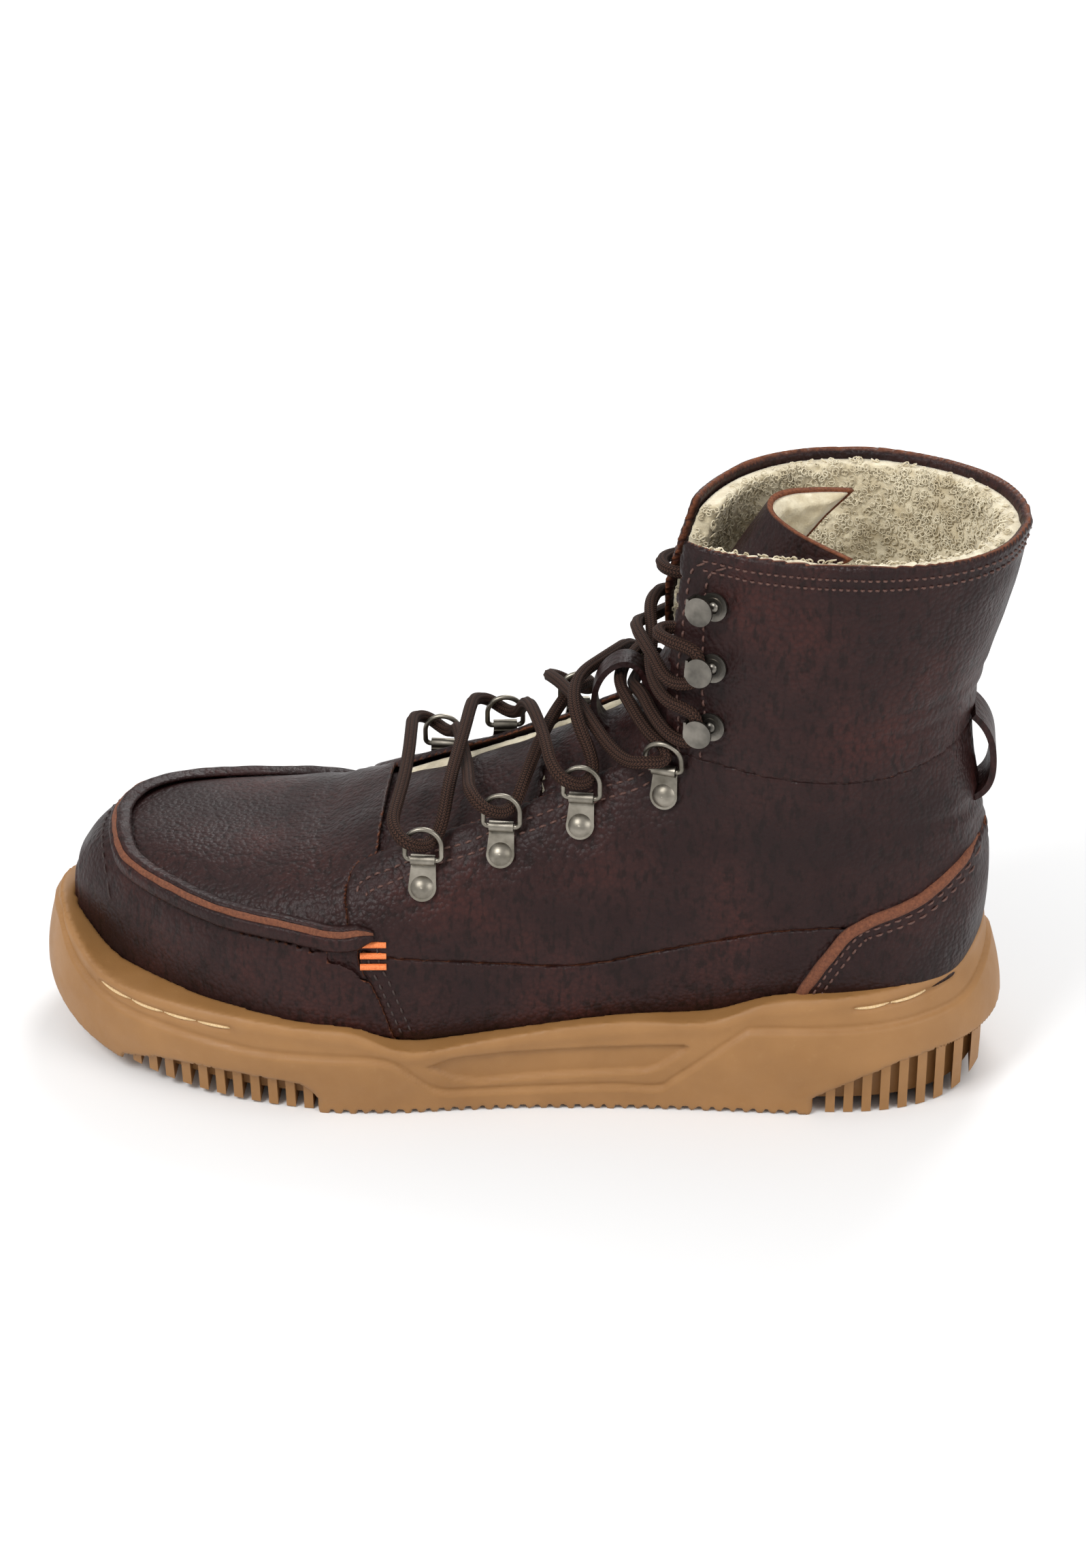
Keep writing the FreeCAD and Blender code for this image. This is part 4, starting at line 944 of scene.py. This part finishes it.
def slab(name, outer, inner, material, slot):
    """A closed sheet between two grids of points."""
    rows, columns = outer.shape[:2]
    points = np.concatenate([outer.reshape(-1, 3), inner.reshape(-1, 3)])
    back = rows * columns
    faces = []
    for i in range(rows - 1):
        for k in range(columns - 1):
            a = i * columns + k
            faces.append((a, a + 1, a + columns + 1, a + columns))
            faces.append((back + a, back + a + columns, back + a + columns + 1, back + a + 1))
    rim = list(range(columns))
    rim += [i * columns + columns - 1 for i in range(1, rows)]
    rim += [(rows - 1) * columns + k for k in range(columns - 2, -1, -1)]
    rim += [i * columns for i in range(rows - 2, 0, -1)]
    for a, b in zip(rim, rim[1:] + rim[:1]):
        faces.append((a, back + a, back + b, b))
    return piece(name, points, faces, None, material, slot)


def tongue():
    """The free part of the tongue, which bends over the fold; its foot is sunk behind the tongue's base."""
    grid, normals = tongue_surface(TONGUE, 70, 90, 61)
    rows, columns = grid.shape[:2]
    places = grid.reshape(-1, 3)
    sunk = np.clip(1 - np.arange(rows) / (0.16 * rows), 0, 1)[:, None, None]
    waves = (0.5 * wobble(places, 14, 21) + 0.2 * wobble(places, 6, 22)).reshape(rows, columns, 1)
    face = grid + normals * (waves - 0.9 * sunk)
    back = face - normals * TONGUE_LEATHER
    leather_piece = slab("tongue_leather", face, back, pebbled, "brown_leather")
    to_side = np.minimum(np.arange(columns), np.arange(columns)[::-1])
    to_top = rows - 1 - np.arange(rows)
    to_edge = np.minimum(to_side[None, :], to_top[:, None])
    raw = np.concatenate([to_edge.ravel() < 1, np.ones(rows * columns)])
    attribute(leather_piece.data, "raw", raw)
    clumps = (0.55 + 0.5 * wobble(places, 5.0, 23) + 0.3 * wobble(places, 2.2, 24)).reshape(rows, columns, 1)
    pile = TONGUE_FLEECE - 1.2 + 1.6 * np.clip(clumps, 0, 1.4)
    thin = np.clip(to_edge / 4, 0.25, 1)[:, :, None]
    wool_face = back + WOOL_OVERLAP * normals
    wool_back = back - normals * (pile * thin)
    wool_piece = slab("tongue_fleece", wool_face[:-1, 1:-1], wool_back[:-1, 1:-1], wool, "fleece")
    for obj in (leather_piece, wool_piece):
        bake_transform(obj)
    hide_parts("tongue_flap_leather")
    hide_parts("tongue_flap_fleece")


COVER_REACH = 12    # a panel up to this far outside a point still covers it
FRONT_ROWS = 14     # rows of the tongue's base that lie under the apron
SPREAD = 0.90       # how much of a rise each row or column passes to the next


def cover_over(points):
    """Each point's direction and distance from inside the boot, and the distance of the panel over it."""
    ways, lengths, overs = [], [], []
    for point, centre in zip(points, inside_point(points)):
        way = point - centre
        length = float(np.linalg.norm(way))
        hit = skin.ray_cast(Vector(centre), Vector(way / length), length + COVER_REACH)
        ways.append(way / length)
        lengths.append(length)
        overs.append(np.nan if hit[3] is None else hit[3])
    return np.array(ways), np.array(lengths), np.array(overs)


def tucked(grid, gap, hugging):
    """A grid of points moved below the panels over it; its first columns also rise to lie against them."""
    rows, columns = grid.shape[:2]
    ways, lengths, overs = cover_over(grid.reshape(-1, 3))
    covered = ~np.isnan(overs).reshape(rows, columns)
    rise = np.nan_to_num(overs - gap - lengths, nan=0.0).reshape(rows, columns)
    wanted = np.where(np.arange(columns)[None, :] < hugging, np.maximum(rise, 0), 0)
    wanted[:FRONT_ROWS] = np.maximum(rise[:FRONT_ROWS], 0)
    for k in range(1, columns):
        wanted[:, k] = np.maximum(wanted[:, k], SPREAD * wanted[:, k - 1])
    for k in range(1, rows):
        wanted[k] = np.maximum(wanted[k], SPREAD * wanted[k - 1])
    for _ in range(14):
        wanted[:, 1:-1] = (wanted[:, :-2] + 2 * wanted[:, 1:-1] + wanted[:, 2:]) / 4
        wanted[1:-1] = (wanted[:-2] + 2 * wanted[1:-1] + wanted[2:]) / 4
    move = np.where(covered, np.minimum(wanted, rise), wanted)
    return grid + ways.reshape(rows, columns, 3) * move[:, :, None]


def tongue_base():
    """The part of the tongue under the lacing, whose lateral side lies under the quarter."""
    grid, normals = tongue_surface(TONGUE_ROOT, 120, 100, 61, medial=0.93)
    rows, columns = grid.shape[:2]
    places = grid.reshape(-1, 3)
    waves = (0.5 * wobble(places, 15, 31) + 0.2 * wobble(places, 6, 32)).reshape(rows, columns, 1)
    face = tucked(grid + normals * waves, 0.4, 22)
    back = face - normals * TONGUE_LEATHER
    leather_piece = slab("tongue_base_leather", face, back, pebbled, "brown_leather")
    raw = np.concatenate([np.zeros(rows * columns), np.ones(rows * columns)])
    attribute(leather_piece.data, "raw", raw)
    pile = 3.0 + 0.8 * wobble(places, 4, 33).reshape(rows, columns, 1)
    wool_face = back + WOOL_OVERLAP * normals
    wool_back = back - normals * pile
    wool_piece = slab("tongue_base_fleece", wool_face[2:, 3:], wool_back[2:, 3:], wool, "fleece")
    for obj, node in ((leather_piece, "tongue_root_leather"), (wool_piece, "tongue_root_fleece")):
        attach(obj, "boot")
        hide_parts(node)


tongue()
tongue_base()


# ---- sole ----
SOLE_VOXEL = 0.8
BEAD, LEDGE_STEP, WINDOW_DEPTH, SLOT_DEPTH = 0.7, 1.0, 1.7, 1.2
NOTCH_PITCH, NOTCH_DEPTH, NOTCH_TOP = 4.2, 1.7, 2.0
SLOT_STITCH, SLOT_PITCH = 8, 11     # in steps of the slot's line


def sole_top_at(x):
    """Height of the cup's top edge."""
    xs, zs = zip(*SOLE_TOP)
    return np.interp(x, xs, zs)


def inside(outline, places):
    """Which places lie inside a closed plane outline."""
    odd = np.zeros(len(places), bool)
    for (ax, az), (bx, bz) in zip(outline, outline[1:] + outline[:1]):
        crosses = (az > places[:, 1]) != (bz > places[:, 1])
        with np.errstate(divide="ignore", invalid="ignore"):
            odd ^= crosses & (places[:, 0] < (bx - ax) * (places[:, 1] - az) / (bz - az) + ax)
    return odd


def step(value):
    """A smooth rise from 0 to 1 while the value goes from 0 to 1."""
    share = np.clip(value, 0, 1)
    return share * share * (3 - 2 * share)


def sole():
    """The rubber cup with its upper bead, ledge, stitched slots, recessed window and notched edge."""
    obj = remeshed("cup_sole", SOLE_VOXEL, 3)
    mesh = obj.data
    places, normals = arrays(mesh)
    x, z = places[:, 0], places[:, 2]
    outward = ((places - [0, 2, 0])[:, :2] * normals[:, :2]).sum(axis=1) > 0
    side_face = (np.abs(normals[:, 2]) < 0.8) & outward
    view = side_view(places)
    height = BEAD * hollow(sole_top_at(x) - z - 2.4, 2.2)
    ledge_x, ledge_z = smooth_line(LEDGE, 1.0).T
    under = np.interp(x, ledge_x, ledge_z) - z
    height += LEDGE_STEP * step(under / 1.6 + 0.3) - 0.5 * hollow(under + 0.8, 0.8)
    edge = gap_to(np.array(WINDOW + WINDOW[:1]), view)
    height -= WINDOW_DEPTH * step(np.where(inside(WINDOW, view), edge, 0) / 1.3)
    for slot in SLOTS:
        height -= SLOT_DEPTH * hollow(gap_to(smooth_line(slot, SEAM_STEP), view), 0.75)
    moved = places + normals * (height * side_face)[:, None]
    teeth = step(0.5 + 1.5 * np.sin(2 * math.pi * x / NOTCH_PITCH)) * (x > -54) * (x < 92)
    near_edge = (z < NOTCH_TOP) & (np.abs(places[:, 1] - 1) > 30)
    moved[:, 2] += np.where(near_edge, NOTCH_DEPTH * teeth * (1 - z / NOTCH_TOP), 0)
    set_places(mesh, moved)
    skins["cup_sole"] = (moved, faces_of(mesh))
    stand_in("cup_sole", obj, gum, "gum_rubber")


def slot_stitches():
    """Long light stitches lying in the slots on both sides of the sole."""
    tree = joined_tree(["cup_sole"])
    pairs = []
    for slot in SLOTS:
        line = smooth_line(slot, 1.0)
        for side in (LATERAL, MEDIAL):
            for start in range(1, len(line) - SLOT_STITCH - 1, SLOT_PITCH):
                a, b = (tree.ray_cast(Vector((x, side * 90, z)), Vector((0, -side, 0)), 90)
                        for x, z in (line[start], line[start + SLOT_STITCH]))
                if a[0] and b[0]:
                    pairs.append((np.array(a[0]), np.array(b[0]), np.array(a[1] + b[1])))
    obj = stitches("slot_stitches", pairs, cream, "cream_thread", radius=0.55, lift=0.7)
    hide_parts("sole_stitching")


sole()
slot_stitches()


# ---- lace ----
def lace_line():
    """Points along the lace's smooth line, in metres."""
    data = bpy.data.curves.new("lace_line", "CURVE")
    data.dimensions = "3D"
    data.resolution_u = 12
    spline = data.splines.new("NURBS")
    spline.points.add(len(LACE_ROUTE) - 1)
    for point, place in zip(spline.points, LACE_ROUTE):
        point.co = (*(v * MM for v in place), 1)
    spline.order_u = 3
    spline.use_endpoint_u = True
    guide = bpy.data.objects.new("lace_line", data)
    scene.collection.objects.link(guide)
    bpy.context.view_layer.update()
    mesh = bpy.data.meshes.new_from_object(guide.evaluated_get(bpy.context.evaluated_depsgraph_get()))
    points = [vertex.co.copy() for vertex in mesh.vertices]
    bpy.data.objects.remove(guide)
    bpy.data.meshes.remove(mesh)
    return points


def lace():
    """The lace as a ribbed tube on its smooth line."""
    line = lace_line()
    sides = 24
    points, faces, around, along = [], [], [], []
    normal = Vector((0, 1, 0))
    run = 0.0
    for i, p in enumerate(line):
        way = (line[min(i + 1, len(line) - 1)] - line[max(i - 1, 0)]).normalized()
        normal = (normal - way * normal.dot(way)).normalized()
        other = way.cross(normal)
        run += (p - line[i - 1]).length if i else 0
        for k in range(sides + 1):
            turn = 2 * math.pi * k / sides
            radius = LACE_DIAMETER / 2 * (0.93 + 0.07 * math.cos(LACE_RIBS * turn))
            points.append((p + radius * (math.cos(turn) * normal + math.sin(turn) * other)) / MM)
            around.append(k / sides)
            along.append(run)
    for i in range(len(line) - 1):
        for k in range(sides):
            a = i * (sides + 1) + k
            faces.append((a, a + sides + 1, a + sides + 2, a + 1))
    obj = piece("lace_braid", points, faces, "boot", lace_braid, "lace_cord")
    attribute(obj.data, "around", around)
    attribute(obj.data, "along", along)
    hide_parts("lace")


lace()


# ---- floor and light ----
def floor():
    shade = Shade("pale_floor", Roughness=0.9)
    shade.color(shade.ramp(shade.noise(400, 2), (0.3, (0.80, 0.80, 0.80)), (0.7, (0.84, 0.84, 0.84))))
    half, level = 4000, -0.2
    corners = [(x * half, y * half, level) for x, y in ((-1, -1), (1, -1), (1, 1), (-1, 1))]
    obj = piece("floor", corners, [(0, 1, 2, 3)], None, shade.material, "brown_leather")
    del obj["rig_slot"]


def area_light(name, place, size, power):
    """A round soft light aimed at the middle of the boot; metres and watts."""
    data = bpy.data.lights.new(name, "AREA")
    data.shape = "DISK"
    data.size = size
    data.energy = power
    obj = bpy.data.objects.new(name, data)
    scene.collection.objects.link(obj)
    obj.location = place
    obj.rotation_euler = (Vector((0, 0, 0.08)) - obj.location).to_track_quat("-Z", "Y").to_euler()


def lights():
    world = bpy.data.worlds.new("studio")
    world.use_nodes = True
    world.node_tree.nodes["Background"].inputs["Color"].default_value = (1, 1, 1, 1)
    world.node_tree.nodes["Background"].inputs["Strength"].default_value = 0.7
    scene.world = world
    scene.view_settings.view_transform = "Standard"
    area_light("key", (-0.7, -0.9, 1.3), 0.7, 17)
    area_light("fill", (1.1, -0.8, 0.8), 0.8, 7)
    area_light("back", (0.2, 1.1, 1.1), 0.8, 12)


floor()
lights()
